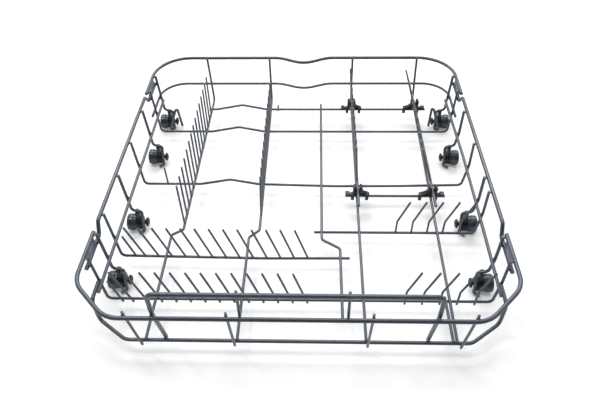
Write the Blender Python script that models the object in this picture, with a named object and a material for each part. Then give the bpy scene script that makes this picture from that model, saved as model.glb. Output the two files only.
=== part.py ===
"""Lower basket of a dishwasher: coated steel wires, eight clipped rollers and two folding tine rows.

Metres, +Z up. X runs across the basket, +Y points to its back wall and the handle is at -Y.
The origin is on the ground that the rollers stand on, under the middle of the rim.
"""

import math

import bmesh
import bpy
from mathutils import Matrix, Vector

# Wire thicknesses
RIM_WIRE = 0.0055
MID_WIRE = 0.0045
FRONT_WIRE = 0.0050
POST_WIRE = 0.0045
FLOOR_WIRE = 0.0040
STAY_WIRE = 0.0035
TINE_WIRE = 0.0030
ROD_WIRE = 0.0045
WELD_GAP = 0.0003

# Rim: a rear and a front U whose ends lap with two straight side wires
RIM_WIDTH = 0.530
RIM_DEPTH = 0.556
RIM_HEIGHT = 0.109
HALF_WIDTH = RIM_WIDTH / 2
HALF_DEPTH = RIM_DEPTH / 2
REAR_CORNER_RADIUS = 0.060
FRONT_CHAMFER = 0.1849 * HALF_WIDTH
FRONT_BEND_RADIUS = 0.1434 * HALF_WIDTH
REAR_LAP_Y = 0.5863 * HALF_DEPTH
FRONT_LAP_Y = -0.5342 * HALF_DEPTH
SIDE_WIRE_REAR_Y = 0.7860 * HALF_DEPTH
SIDE_WIRE_FRONT_Y = -0.7104 * HALF_DEPTH
LAP_DROP = 0.0155
REAR_DROP_RUN = 0.0130
FRONT_DROP_RUN = 0.0115
REAR_DROP_Y = 0.5468 * HALF_DEPTH
FRONT_DROP_Y = -0.4622 * HALF_DEPTH
DROP_RADIUS = 0.0060
PLATE_THICKNESS = 0.0016
PLATE_END_GAP = 0.0010

# Notch in the middle of the rear wires
NOTCH_WIDTH = 0.104
RIM_NOTCH_DEPTH = 0.0160
MID_NOTCH_DEPTH = 0.0140

# Walls: how far each leans in from the rim down to the floor
SIDE_LEAN = 0.0037
REAR_LEAN = 0.0110
FRONT_LEAN = 0.0235
WALL_TOP_RISE = 0.0015

# Middle rail
MID_DROP = 0.0445
MID_CORNER_RADIUS = 0.045
MID_LAP_Y = 0.5755 * HALF_DEPTH
MID_SIDE_REAR_Y = 0.7950 * HALF_DEPTH
MID_SIDE_FRONT_Y = -0.7464 * HALF_DEPTH

# Floor
FLOOR_HEIGHT = 0.024
FLOOR_CORNER_RADIUS = 0.012
LONG_CORNER_RADIUS = 0.010
PEAK_RISE = 0.010
PEAK_X = -0.4340 * HALF_WIDTH
PEAK_FOOT_GAP = 0.0080
PEAK_RADIUS = 0.020
CROSS_A_Y = 0.8525 * HALF_DEPTH
CROSS_A_LEFT = -0.6736 * HALF_WIDTH
CROSS_A_RIGHT = 0.8528 * HALF_WIDTH
CROSS_B_Y = 0.5960 * HALF_DEPTH
CROSS_C_Y = 0.1151 * HALF_DEPTH
CROSS_D_RIGHT_Y = -0.2572 * HALF_DEPTH
CROSS_D_RIGHT_END = 0.0774 * HALF_WIDTH
CROSS_D_LEFT_Y = -0.4263 * HALF_DEPTH
CROSS_D_LEFT_END = 0.2698 * HALF_WIDTH
CROSS_E_Y = -0.6924 * HALF_DEPTH
CLIP_WIRE_Y = 0.0216 * HALF_DEPTH
CLIP_WIRE_LEFT = 0.2642 * HALF_WIDTH
CLIP_WIRE_RIGHT = 0.8528 * HALF_WIDTH
STUB_X = -0.1830 * HALF_WIDTH
STUB_LENGTH = 0.016

# Long floor wires: x where each leaves the rim, x at the rear of the floor and x behind its jog,
# as shares of half the rim's width
LONG_1_X = tuple(share * HALF_WIDTH for share in (-0.6664, -0.6483, -0.6581))
LONG_2_X = tuple(share * HALF_WIDTH for share in (-0.2358, -0.2321, -0.2283))
LONG_4_X = tuple(share * HALF_WIDTH for share in (0.3358, 0.3385, 0.3309))
LONG_5_X = tuple(share * HALF_WIDTH for share in (0.7743, 0.7796, 0.7547))
LONG_3_X = 0.1200 * HALF_WIDTH
JOG_Y = -0.2590 * HALF_DEPTH
LONG_1_JOG = (-0.0158, 0.0105)
LONG_2_JOG = (-0.0146, 0.0145)
LONG_3_JOG = (0.0262, 0.0170)
LONG_3_JOG_Y = -0.3219 * HALF_DEPTH
LONG_3_REAR_Y = 0.8849 * HALF_DEPTH
LONG_3_FRONT_Y = -0.8129 * HALF_DEPTH
LONG_6_X = 0.7328 * HALF_WIDTH
JOG_RADIUS = 0.006

# Tines
TINE_PITCH = 0.0712 * HALF_DEPTH
REAR_TINE_Y = 0.7781 * HALF_DEPTH
LONG_1_TINES = 15
LONG_2_TINES = 13
LONG_TINE_TOP = RIM_HEIGHT - 0.0010
LONG_1_TINE_LEAN = 0.0012
LONG_2_TINE_LEAN = 0.0040
ROW_TINE_X = -0.8302 * HALF_WIDTH
ROW_TINE_PITCH = 0.0736 * HALF_WIDTH
ROW_TINES = 13
ROW_TINE_HEIGHT = 0.0600
ROW_TINE_LEAN = -0.0180
SHORT_TINE_X = 0.0304 - HALF_WIDTH
SHORT_TINE_HEIGHT = 0.0410
SHORT_TINE_LEAN = -0.0105
BENT_TINE_WALL_GAP = 0.0311
BENT_TINE_PITCH = 0.0868 * HALF_WIDTH
BENT_TINES = 5
BENT_TINE_UPRIGHT = 0.0240
BENT_TINE_TOP = 0.0400
BENT_TINE_LEAN = 0.0155
BENT_TINE_RADIUS = 0.008
TINE_UNDERRUN = 0.0048
STUB_TINE_X = -0.8223 * HALF_WIDTH
STUB_TINE_HEIGHT = 0.0350

# Front: floor rail, stays and handle
FRONT_RAIL_ARM_Y = -0.6475 * HALF_DEPTH
FRONT_RAIL_DROP_LAG = 0.0010
FRONT_RAIL_CORNER_GAP = 0.0065
FRONT_RAIL_CHAMFER = (0.0390, 0.0265)
FRONT_RAIL_RADIUS = 0.008
FRONT_RAIL_CHAMFER_RADIUS = 0.018
STAY_X = tuple(share * HALF_WIDTH for share in (-0.7389, -0.2962, 0.3332, 0.7717))
STAY_ABOVE = 0.0045
STAY_BELOW = 0.0040
STAY_CLEARANCE = 0.0007
HANDLE_WIRE = 0.0055
HANDLE_RISE = 0.0430
HANDLE_HALF_WIDTH = 0.6038 * HALF_WIDTH
HANDLE_FOOT_SPREAD = 0.0055
HANDLE_RADIUS = 0.009
HANDLE_LEAN = 0.0038
HANDLE_POST_X = 0.2309 * HALF_WIDTH

# Wheels
WHEEL_DIAMETER = 0.026
WHEEL_WIDTH = 0.0100
WHEEL_HUB_LENGTH = 0.0075
WHEEL_HUB_DIAMETER = 0.0236
WHEEL_BORE = 0.0076
WHEEL_FLANGE = 0.0012
WHEEL_ROUNDING = 0.0011
WHEEL_TREAD_WALL = 0.0036
WHEEL_RECESS = 0.0040
WHEEL_BOSS_WALL = 0.0022
WHEEL_Y = tuple(share * HALF_DEPTH for share in (0.7734, 0.4050, -0.1522, -0.5522))
AXLE_CLEARANCE = 0.0004
HOLDER_CLEARANCE = 0.00035
AXLE_HEAD_LENGTH = 0.0010
AXLE_HEAD_RIM = 0.0011
HOLDER_THICKNESS = 0.0089
HOLDER_DIAMETER = 0.0220
CAP_DIAMETER = 0.0140
CAP_LENGTH = 0.0040
CAP_ROUNDING = 0.0016
POST_BEND_HEIGHT = 0.0390
POST_OVER_HEIGHT = 0.0360
POST_NECK_HEIGHT = 0.0220
POST_INWARD = 0.0167
POST_AHEAD = 0.0062
POST_BEND_RADIUS = 0.0070
POST_OVER_RADIUS = 0.0050
FOOT_HEIGHT = 0.0042
FOOT_START_AHEAD = 0.0105
FOOT_END_AHEAD = 0.0160
FOOT_END_OUTWARD = 0.0090
FOOT_RADIUS = 0.0032
HOOK_PEAK_HEIGHT = 0.0500
HOOK_PEAK_INWARD = 0.0080
HOOK_PEAK_AHEAD = 0.0060
HOOK_END_INWARD = 0.0102
HOOK_END_AHEAD = 0.0030
HOOK_END_HEIGHT = 0.0035

# Folding rows
ROD_X = tuple(share * HALF_WIDTH for share in (0.3340, 0.7736))
ROD_RISE = 0.0087
ROD_REAR_Y = 0.8939 * HALF_DEPTH
ROD_FRONT_Y = -0.1043 * HALF_DEPTH
FOLD_TINE_REAR_Y = 0.8849 * HALF_DEPTH
FOLD_TINES = 12
FOLD_TINE_LENGTH = 0.0690
FOLD_TINE_TILT = (math.radians(3.8), math.radians(18.5))
CLIP_LENGTH = 0.0380
CLIP_DEPTH = 0.0100
CLIP_EAR_HEIGHT = 0.0085
CLIP_EAR_THICKNESS = 0.0030
CLIP_FOOT_WIDTH = 0.0046
CLIP_FOOT_WALL = 0.0022
CLIP_FOOT_X = ((-0.0075, 0.0150), (-0.0180, 0.0068))
CLIP_CLEARANCE = 0.00035

# Fineness of the round forms
ARC_STEP = math.radians(27)
THICK_WIRE_SIDES = 8
THIN_WIRE_SIDES = 6
TURNED_SIDES = 14
SMOOTH_ANGLE = math.radians(40)

# Heights and places worked out from the sizes above
MID_HEIGHT = RIM_HEIGHT - MID_DROP
LONG_HEIGHT = FLOOR_HEIGHT + (FLOOR_WIRE + FLOOR_WIRE) / 2 + WELD_GAP
FRONT_RAIL_HEIGHT = LONG_HEIGHT - (FLOOR_WIRE + FRONT_WIRE) / 2 - WELD_GAP
HANDLE_HEIGHT = RIM_HEIGHT + HANDLE_RISE
AXLE_HEIGHT = WHEEL_DIAMETER / 2
WALL_TOP = RIM_HEIGHT + WALL_TOP_RISE
POST_REACH = (RIM_WIRE + POST_WIRE) / 2 + WELD_GAP
WALL_X = HALF_WIDTH - POST_REACH


def wall_x(height):
    """Distance from the middle plane to the wires of a side wall, at a height."""
    return WALL_X - SIDE_LEAN * (RIM_HEIGHT - height) / (RIM_HEIGHT - FLOOR_HEIGHT)


def rear_y(height):
    """Y of the long wires where they climb the rear wall, at a height."""
    top = HALF_DEPTH - (RIM_WIRE + FLOOR_WIRE) / 2 - WELD_GAP
    return top - REAR_LEAN * (RIM_HEIGHT - height) / (RIM_HEIGHT - LONG_HEIGHT)


MID_REACH = (MID_WIRE + POST_WIRE) / 2 + WELD_GAP
MID_INNER_X = wall_x(MID_HEIGHT) - MID_REACH
MID_OUTER_X = wall_x(MID_HEIGHT) + MID_REACH
MID_REAR_Y = rear_y(MID_HEIGHT) - (MID_WIRE + FLOOR_WIRE) / 2 - WELD_GAP
RIM_FRONT_Y = -HALF_DEPTH
FRONT_RAIL_Y = RIM_FRONT_Y + FRONT_LEAN
ROD_HEIGHT = LONG_HEIGHT + ROD_RISE
POST_X = wall_x(POST_BEND_HEIGHT) - POST_INWARD
HOLDER_INNER_X = POST_X + POST_WIRE / 2 + HOLDER_CLEARANCE
HOLDER_OUTER_X = HOLDER_INNER_X + HOLDER_THICKNESS
CAP_OUTER_X = POST_X - POST_WIRE / 2 - HOLDER_CLEARANCE
WHEEL_INNER_X = HOLDER_OUTER_X + AXLE_CLEARANCE
WHEEL_TREAD_X = WHEEL_INNER_X + WHEEL_HUB_LENGTH
WHEEL_OUTER_X = WHEEL_TREAD_X + WHEEL_WIDTH


def clear_scene():
    for obj in list(bpy.data.objects):
        bpy.data.objects.remove(obj, do_unlink=True)


def make_material(name, colour, roughness, metallic=0.0):
    material = bpy.data.materials.new(name)
    material.use_nodes = True
    shader = material.node_tree.nodes["Principled BSDF"]
    shader.inputs["Base Color"].default_value = (*colour, 1.0)
    shader.inputs["Roughness"].default_value = roughness
    shader.inputs["Metallic"].default_value = metallic
    material.diffuse_color = (*colour, 1.0)
    return material


def add_node(name, mesh, material, location=(0, 0, 0)):
    """One sub-part: a mesh object with its own material, under the basket's empty."""
    mesh.name = name
    mesh.materials.clear()
    mesh.materials.append(material.copy())
    mesh.materials[0].name = f"{name} finish"
    mesh.shade_smooth()
    mesh.set_sharp_from_angle(angle=SMOOTH_ANGLE)
    obj = bpy.data.objects.new(name, mesh)
    obj.location = location
    obj.parent = bpy.data.objects["basket"]
    bpy.context.scene.collection.objects.link(obj)
    return obj


def bent(points, radius, closed_ends=True):
    """The corner points joined by straight runs, with an arc of the radius at each inner corner.

    A point may be followed by its own radius, as (point, radius), and 0 leaves it a corner.
    """
    corners = [p if isinstance(p[0], (tuple, Vector)) else (p, radius) for p in points]
    places = [Vector(place) for place, _ in corners]
    path = [places[0]]
    for i in range(1, len(places) - 1):
        before = (places[i - 1] - places[i]).normalized()
        after = (places[i + 1] - places[i]).normalized()
        turn = math.pi - before.angle(after)
        own = corners[i][1]
        if turn < 1e-3 or own == 0:
            path.append(places[i])
            continue
        reach = own * math.tan(turn / 2)
        start = places[i] + before * reach
        centre = places[i] + (before + after).normalized() * own / math.cos(turn / 2)
        axis = after.cross(before).normalized()
        steps = math.ceil(turn / ARC_STEP)
        for step in range(steps + 1):
            spin = Matrix.Rotation(turn * step / steps, 3, axis)
            path.append(centre + spin @ (start - centre))
    path.append(places[-1])
    return path


def swept(paths, diameter, sides):
    """A mesh of round wires along the paths: a bevelled curve made into a closed mesh."""
    curve = bpy.data.curves.new("sweep", "CURVE")
    curve.dimensions = "3D"
    curve.bevel_depth = diameter / 2
    curve.bevel_resolution = (sides - 4) // 2
    curve.use_fill_caps = True
    for path in paths:
        spline = curve.splines.new("POLY")
        spline.points.add(len(path) - 1)
        for point, place in zip(spline.points, path):
            point.co = (*place, 1.0)
    carrier = bpy.data.objects.new("sweep", curve)
    mesh = bpy.data.meshes.new_from_object(carrier)
    bpy.data.objects.remove(carrier)
    bpy.data.curves.remove(curve)
    shape = bmesh.new()
    shape.from_mesh(mesh)
    bmesh.ops.remove_doubles(shape, verts=shape.verts, dist=1e-6)
    bmesh.ops.recalc_face_normals(shape, faces=shape.faces)
    shape.to_mesh(mesh)
    shape.free()
    return mesh


def combined(first, second, operation):
    """The Boolean UNION or DIFFERENCE of two meshes, as a new mesh."""
    base = bpy.data.objects.new("base", first)
    tool = bpy.data.objects.new("tool", second)
    for obj in (base, tool):
        bpy.context.scene.collection.objects.link(obj)
    modifier = base.modifiers.new("combine", "BOOLEAN")
    modifier.operation = operation
    modifier.object = tool
    bpy.context.view_layer.update()
    graph = bpy.context.evaluated_depsgraph_get()
    mesh = bpy.data.meshes.new_from_object(base.evaluated_get(graph))
    for obj in (base, tool):
        bpy.data.objects.remove(obj)
    return mesh


def box_mesh(low, high):
    shape = bmesh.new()
    size = Vector(high) - Vector(low)
    middle = (Vector(high) + Vector(low)) / 2
    bmesh.ops.create_cube(shape, size=1.0, matrix=Matrix.Translation(middle) @ Matrix.Diagonal((*size, 1.0)))
    mesh = bpy.data.meshes.new("box")
    shape.to_mesh(mesh)
    shape.free()
    return mesh


def turned_mesh(profile, sides):
    """A solid turned round the X axis from (x, radius) points; it closes on itself or on the axis."""
    shape = bmesh.new()
    rings = []
    for x, radius in profile:
        if radius == 0:
            rings.append([shape.verts.new((x, 0, 0))])
            continue
        angles = [2 * math.pi * k / sides for k in range(sides)]
        rings.append([shape.verts.new((x, radius * math.cos(a), radius * math.sin(a))) for a in angles])
    through = profile[0][1] > 0
    pairs = list(zip(rings, rings[1:] + rings[:1])) if through else list(zip(rings, rings[1:]))
    for one, other in pairs:
        for k in range(sides):
            ring = [one[k % len(one)], one[(k + 1) % len(one)], other[(k + 1) % len(other)], other[k % len(other)]]
            corners = list(dict.fromkeys(ring))
            shape.faces.new(corners)
    bmesh.ops.recalc_face_normals(shape, faces=shape.faces)
    mesh = bpy.data.meshes.new("turned")
    shape.to_mesh(mesh)
    shape.free()
    return mesh


def extruded_mesh(outline, low_x, high_x):
    """A plate from an outline of (y, z) points, extruded along X."""
    shape = bmesh.new()
    face = shape.faces.new([shape.verts.new((low_x, y, z)) for y, z in outline])
    moved = bmesh.ops.extrude_face_region(shape, geom=[face])
    ahead = [item for item in moved["geom"] if isinstance(item, bmesh.types.BMVert)]
    bmesh.ops.translate(shape, verts=ahead, vec=(high_x - low_x, 0, 0))
    bmesh.ops.recalc_face_normals(shape, faces=shape.faces)
    mesh = bpy.data.meshes.new("extruded")
    shape.to_mesh(mesh)
    shape.free()
    return mesh


def mirrored(mesh):
    """The mesh mirrored across the middle plane of the basket, its faces still facing out."""
    copy = mesh.copy()
    copy.transform(Matrix.Diagonal((-1, 1, 1, 1)))
    copy.flip_normals()
    return copy


def across(points):
    """A path that runs from the left wall to its mirror image at the right wall."""
    return points + [mirror_point(p) for p in reversed(points)]


def mirror_point(p):
    if isinstance(p[0], tuple):
        return (mirror_point(p[0]), p[1])
    return (-p[0], p[1], p[2])


def notch(depth, y, height):
    """Points of the smooth dip in the middle of a rear wire, from left to right."""
    steps = 10
    points = []
    for step in range(steps + 1):
        x = NOTCH_WIDTH * (step / steps - 0.5)
        dip = depth * (1 + math.cos(2 * math.pi * x / NOTCH_WIDTH)) / 2
        points.append(((x, y - dip, height), 0))
    return points


def wire(name, points, diameter, radius, material, sides=THICK_WIRE_SIDES):
    return add_node(name, swept([bent(points, radius)], diameter, sides), material)


def make_rim(coated, plate_metal):
    half = HALF_WIDTH
    rear = HALF_DEPTH
    rear_points = across([(-half, REAR_LAP_Y, RIM_HEIGHT), (-half, rear, RIM_HEIGHT)])
    rear_points[2:2] = notch(RIM_NOTCH_DEPTH, rear, RIM_HEIGHT)
    wire("rim_rear", rear_points, RIM_WIRE, REAR_CORNER_RADIUS, coated)
    corner_y = RIM_FRONT_Y + FRONT_CHAMFER
    front = across([
        (-half, FRONT_LAP_Y, RIM_HEIGHT),
        (-half, corner_y, RIM_HEIGHT),
        (-half + FRONT_CHAMFER, RIM_FRONT_Y, RIM_HEIGHT),
    ])
    wire("rim_front", front, RIM_WIRE, FRONT_BEND_RADIUS, coated)
    low = RIM_HEIGHT - LAP_DROP
    for side, word in ((-1, "left"), (1, "right")):
        outer, low_x = side * half, side * (wall_x(low) + POST_REACH)
        points = [
            (low_x, SIDE_WIRE_FRONT_Y, low),
            (low_x, FRONT_DROP_Y - FRONT_DROP_RUN, low),
            (outer, FRONT_DROP_Y, RIM_HEIGHT),
            (outer, REAR_DROP_Y, RIM_HEIGHT),
            (low_x, REAR_DROP_Y + REAR_DROP_RUN, low),
            (low_x, SIDE_WIRE_REAR_Y, low),
        ]
        wire(f"rim_{word}", points, RIM_WIRE, DROP_RADIUS, coated)
    plate_x = (half - PLATE_THICKNESS, half)
    plate_z = (low + RIM_WIRE / 2 + WELD_GAP, RIM_HEIGHT - RIM_WIRE / 2 - WELD_GAP)
    ends = {
        "rear": (CROSS_B_Y + FLOOR_WIRE / 2, WHEEL_Y[0] - POST_WIRE / 2),
        "front": (CROSS_E_Y + FLOOR_WIRE / 2, WHEEL_Y[3] - POST_WIRE / 2),
    }
    for where, (front_y, rear_y_) in ends.items():
        near = (plate_x[0], front_y + PLATE_END_GAP, plate_z[0])
        far = (plate_x[1], rear_y_ - PLATE_END_GAP, plate_z[1])
        plate = box_mesh(near, far)
        add_node(f"joint_plate_{where}_right", plate, plate_metal)
        add_node(f"joint_plate_{where}_left", mirrored(plate), plate_metal)


def make_mid_rail(coated):
    rear_points = across([(-MID_OUTER_X, MID_LAP_Y, MID_HEIGHT), (-MID_OUTER_X, MID_REAR_Y, MID_HEIGHT)])
    rear_points[2:2] = notch(MID_NOTCH_DEPTH, MID_REAR_Y, MID_HEIGHT)
    wire("mid_rail_rear", rear_points, MID_WIRE, MID_CORNER_RADIUS, coated)
    for side, word in ((-1, "left"), (1, "right")):
        ends = [(side * MID_INNER_X, y, MID_HEIGHT) for y in (MID_SIDE_FRONT_Y, MID_SIDE_REAR_Y)]
        wire(f"mid_rail_{word}", ends, MID_WIRE, MID_CORNER_RADIUS, coated)


def make_front(coated):
    reach = (MID_WIRE + POST_WIRE) / 2 + WELD_GAP + (FRONT_WIRE - MID_WIRE) / 2
    arm_x = wall_x(MID_HEIGHT) + reach
    corner_x = HALF_WIDTH - FRONT_RAIL_CORNER_GAP
    corner_y = FRONT_RAIL_Y + FRONT_RAIL_CHAMFER[1]
    rail = across([
        (-arm_x, FRONT_RAIL_ARM_Y, MID_HEIGHT),
        (-arm_x, corner_y + FRONT_RAIL_DROP_LAG, MID_HEIGHT),
        (-corner_x, corner_y, FRONT_RAIL_HEIGHT),
        ((-corner_x + FRONT_RAIL_CHAMFER[0], FRONT_RAIL_Y, FRONT_RAIL_HEIGHT), FRONT_RAIL_CHAMFER_RADIUS),
    ])
    wire("front_floor_rail", rail, FRONT_WIRE, FRONT_RAIL_RADIUS, coated)

    wall = RIM_HEIGHT - FRONT_RAIL_HEIGHT
    lean = math.hypot(1, FRONT_LEAN / wall)
    inside_y = RIM_FRONT_Y + ((RIM_WIRE + STAY_WIRE) / 2 + WELD_GAP) * lean + STAY_CLEARANCE
    outside_y = FRONT_RAIL_Y - ((FRONT_WIRE + STAY_WIRE) / 2 + WELD_GAP) * lean
    slope = (inside_y - outside_y) / wall
    top, bottom = RIM_HEIGHT + STAY_ABOVE, FRONT_RAIL_HEIGHT - STAY_BELOW
    for number, x in enumerate(STAY_X, 1):
        ends = [(x, inside_y + slope * (z - RIM_HEIGHT), z) for z in (bottom, top)]
        wire(f"front_stay_{number}", ends, STAY_WIRE, 0.01, coated, THIN_WIRE_SIDES)

    rail_y = FRONT_RAIL_Y + ((FRONT_WIRE + HANDLE_WIRE) / 2 + WELD_GAP) * lean
    rim_y = RIM_FRONT_Y + ((RIM_WIRE + HANDLE_WIRE) / 2 + WELD_GAP) * lean
    foot_y = rail_y + (rail_y - rim_y) * FRONT_WIRE / 2 / wall
    bar_y = rim_y - HANDLE_LEAN
    foot_x = HANDLE_HALF_WIDTH + HANDLE_FOOT_SPREAD
    hoop = across([
        (-foot_x, foot_y, FRONT_RAIL_HEIGHT - FRONT_WIRE / 2),
        ((-HANDLE_HALF_WIDTH - HANDLE_FOOT_SPREAD / 3, rim_y, RIM_HEIGHT), 0.02),
        (-HANDLE_HALF_WIDTH, bar_y, HANDLE_HEIGHT),
    ])
    handle = swept([bent(hoop, HANDLE_RADIUS)], HANDLE_WIRE, THICK_WIRE_SIDES)
    post_y = bar_y + (HANDLE_WIRE + STAY_WIRE) / 2 - 0.0006
    for x in (-HANDLE_POST_X, HANDLE_POST_X):
        post = [(x, inside_y, RIM_HEIGHT - RIM_WIRE), (x, inside_y, RIM_HEIGHT), (x, post_y, HANDLE_HEIGHT + 0.002)]
        handle = combined(handle, swept([bent(post, 0.01)], STAY_WIRE, THIN_WIRE_SIDES), "UNION")
    add_node("front_handle", handle, coated)


def side_arm(y, side=-1):
    """Top and corner points of a cross wire at one side wall."""
    return [
        (side * wall_x(WALL_TOP), y, WALL_TOP),
        (side * wall_x(FLOOR_HEIGHT), y, FLOOR_HEIGHT),
    ]


def peak(y):
    """The raised kink of a cross wire between the two left tine rows."""
    return [
        ((LONG_1_X[1] + PEAK_FOOT_GAP, y, FLOOR_HEIGHT), PEAK_RADIUS),
        ((PEAK_X, y, FLOOR_HEIGHT + PEAK_RISE), PEAK_RADIUS),
        ((LONG_2_X[1] - PEAK_FOOT_GAP, y, FLOOR_HEIGHT), PEAK_RADIUS),
    ]


def leaning_tines(xs, y, foot, height, lean):
    return [[(x, y, foot), (x + lean, y, FLOOR_HEIGHT + height)] for x in xs]


def bent_tines(y, foot):
    """The five tines at the right that rise straight and then lean outwards."""
    tines = []
    for number in range(BENT_TINES):
        x = HALF_WIDTH - BENT_TINE_WALL_GAP - BENT_TINE_PITCH * number
        knee = FLOOR_HEIGHT + BENT_TINE_UPRIGHT
        points = [(x, y, foot), (x, y, knee), (x + BENT_TINE_LEAN, y, knee + BENT_TINE_TOP)]
        tines.append(bent(points, BENT_TINE_RADIUS))
    return tines


def row_of_tines(y, foot):
    xs = [ROW_TINE_X + ROW_TINE_PITCH * number for number in range(ROW_TINES)]
    tines = leaning_tines(xs, y, foot, ROW_TINE_HEIGHT, ROW_TINE_LEAN)
    return tines + leaning_tines([SHORT_TINE_X], y, foot, SHORT_TINE_HEIGHT, SHORT_TINE_LEAN)


def with_tines(name, points, radius, tines, material):
    """A floor wire with its tines welded on, as one solid."""
    body = swept([bent(points, radius)], FLOOR_WIRE, THICK_WIRE_SIDES)
    body = combined(body, swept(tines, TINE_WIRE, THIN_WIRE_SIDES), "UNION")
    return add_node(name, body, material)


def make_cross_wires(coated):
    radius = FLOOR_CORNER_RADIUS
    rear = [(CROSS_A_LEFT, CROSS_A_Y, FLOOR_HEIGHT)] + peak(CROSS_A_Y) + [(CROSS_A_RIGHT, CROSS_A_Y, FLOOR_HEIGHT)]
    body = swept([bent(rear, radius)], FLOOR_WIRE, THICK_WIRE_SIDES)
    stub_height = FLOOR_HEIGHT + FLOOR_WIRE / 2 + STAY_WIRE / 2 - 0.0006
    stub = [(STUB_X, CROSS_A_Y - STUB_LENGTH / 2, stub_height), (STUB_X, CROSS_A_Y + STUB_LENGTH / 2, stub_height)]
    body = combined(body, swept([stub], STAY_WIRE, THIN_WIRE_SIDES), "UNION")
    add_node("cross_wire_1", body, coated)

    full = side_arm(CROSS_B_Y) + peak(CROSS_B_Y) + side_arm(CROSS_B_Y, 1)[::-1]
    wire("cross_wire_2", full, FLOOR_WIRE, radius, coated)
    full = side_arm(CROSS_C_Y) + peak(CROSS_C_Y) + side_arm(CROSS_C_Y, 1)[::-1]
    stub_tine = leaning_tines([STUB_TINE_X], CROSS_C_Y, FLOOR_HEIGHT, STUB_TINE_HEIGHT, 0)
    with_tines("cross_wire_3", full, radius, stub_tine, coated)
    right = [(CROSS_D_RIGHT_END, CROSS_D_RIGHT_Y, FLOOR_HEIGHT)] + side_arm(CROSS_D_RIGHT_Y, 1)[::-1]
    with_tines("cross_wire_4", right, radius, bent_tines(CROSS_D_RIGHT_Y, FLOOR_HEIGHT), coated)
    left = side_arm(CROSS_D_LEFT_Y) + [(CROSS_D_LEFT_END, CROSS_D_LEFT_Y, FLOOR_HEIGHT)]
    with_tines("cross_wire_5", left, radius, row_of_tines(CROSS_D_LEFT_Y, FLOOR_HEIGHT), coated)
    full = side_arm(CROSS_E_Y) + side_arm(CROSS_E_Y, 1)[::-1]
    tine_y = CROSS_E_Y - (FLOOR_WIRE + TINE_WIRE) / 2 + 0.0008
    foot = FLOOR_HEIGHT - TINE_UNDERRUN
    with_tines("cross_wire_6", full, radius, row_of_tines(tine_y, foot) + bent_tines(tine_y, foot), coated)
    ends = [(x, CLIP_WIRE_Y, FLOOR_HEIGHT) for x in (CLIP_WIRE_LEFT, CLIP_WIRE_RIGHT)]
    wire("clip_wire", ends, FLOOR_WIRE, radius, coated)


def climbing(xs):
    """Top and corner points of a long wire at the rear wall."""
    return [(xs[0], rear_y(WALL_TOP), WALL_TOP), (xs[1], rear_y(LONG_HEIGHT), LONG_HEIGHT)]


def long_tines(xs, count, lean, first):
    """Upright tines along a long wire, from the rear forwards."""
    tines = []
    for number in range(first, first + count):
        y = REAR_TINE_Y - TINE_PITCH * number
        share = (rear_y(LONG_HEIGHT) - y) / (rear_y(LONG_HEIGHT) - JOG_Y)
        x = xs[1] + (xs[2] - xs[1]) * share
        tines.append([(x, y, LONG_HEIGHT), (x + lean, y, LONG_TINE_TOP)])
    return tines


def make_long_wires(coated):
    front_y = FRONT_RAIL_Y - FRONT_WIRE / 5
    radius = LONG_CORNER_RADIUS
    rows = (
        ("long_wire_1", LONG_1_X, LONG_1_JOG, LONG_1_TINES, LONG_1_TINE_LEAN, 0),
        ("long_wire_2", LONG_2_X, LONG_2_JOG, LONG_2_TINES, LONG_2_TINE_LEAN, 1),
    )
    for name, xs, jog, count, lean, first in rows:
        points = climbing(xs) + [
            ((xs[2], JOG_Y, LONG_HEIGHT), JOG_RADIUS),
            ((xs[2] + jog[0], JOG_Y - jog[1], LONG_HEIGHT), JOG_RADIUS),
            (xs[2] + jog[0], front_y, LONG_HEIGHT),
        ]
        with_tines(name, points, radius, long_tines(xs, count, lean, first), coated)
    for name, xs in (("long_wire_4", LONG_4_X), ("long_wire_5", LONG_5_X)):
        wire(name, climbing(xs) + [(xs[2], front_y, LONG_HEIGHT)], FLOOR_WIRE, radius, coated)
    free = [
        (LONG_3_X, LONG_3_REAR_Y, LONG_HEIGHT),
        (LONG_3_X, LONG_3_JOG_Y, LONG_HEIGHT),
        (LONG_3_X + LONG_3_JOG[0], LONG_3_JOG_Y - LONG_3_JOG[1], LONG_HEIGHT),
        (LONG_3_X + LONG_3_JOG[0], LONG_3_FRONT_Y, LONG_HEIGHT),
    ]
    wire("long_wire_3", free, FLOOR_WIRE, JOG_RADIUS, coated)
    short = [(LONG_6_X, CROSS_E_Y + FLOOR_WIRE, LONG_HEIGHT), (LONG_6_X, front_y, LONG_HEIGHT)]
    wire("long_wire_6", short, FLOOR_WIRE, JOG_RADIUS, coated)


def post_points(side, hooked):
    """A wheel post round its own y = 0: over the holder's disc, then down between it and the cap to a foot."""
    inner = side * POST_X
    toe = (inner + side * FOOT_END_OUTWARD, -FOOT_END_AHEAD, FOOT_HEIGHT)
    points = [
        (side * wall_x(WALL_TOP), 0, WALL_TOP),
        ((side * wall_x(POST_BEND_HEIGHT), 0, POST_BEND_HEIGHT), POST_BEND_RADIUS),
        ((inner, 0, POST_OVER_HEIGHT), POST_OVER_RADIUS),
        ((inner, -POST_AHEAD, POST_NECK_HEIGHT), POST_OVER_RADIUS),
        (inner, -FOOT_START_AHEAD, FOOT_HEIGHT),
        toe,
    ]
    if not hooked:
        return points
    return points + [
        (inner - side * HOOK_PEAK_INWARD, -HOOK_PEAK_AHEAD, HOOK_PEAK_HEIGHT),
        (inner - side * HOOK_END_INWARD, -HOOK_END_AHEAD, HOOK_END_HEIGHT),
    ]


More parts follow.
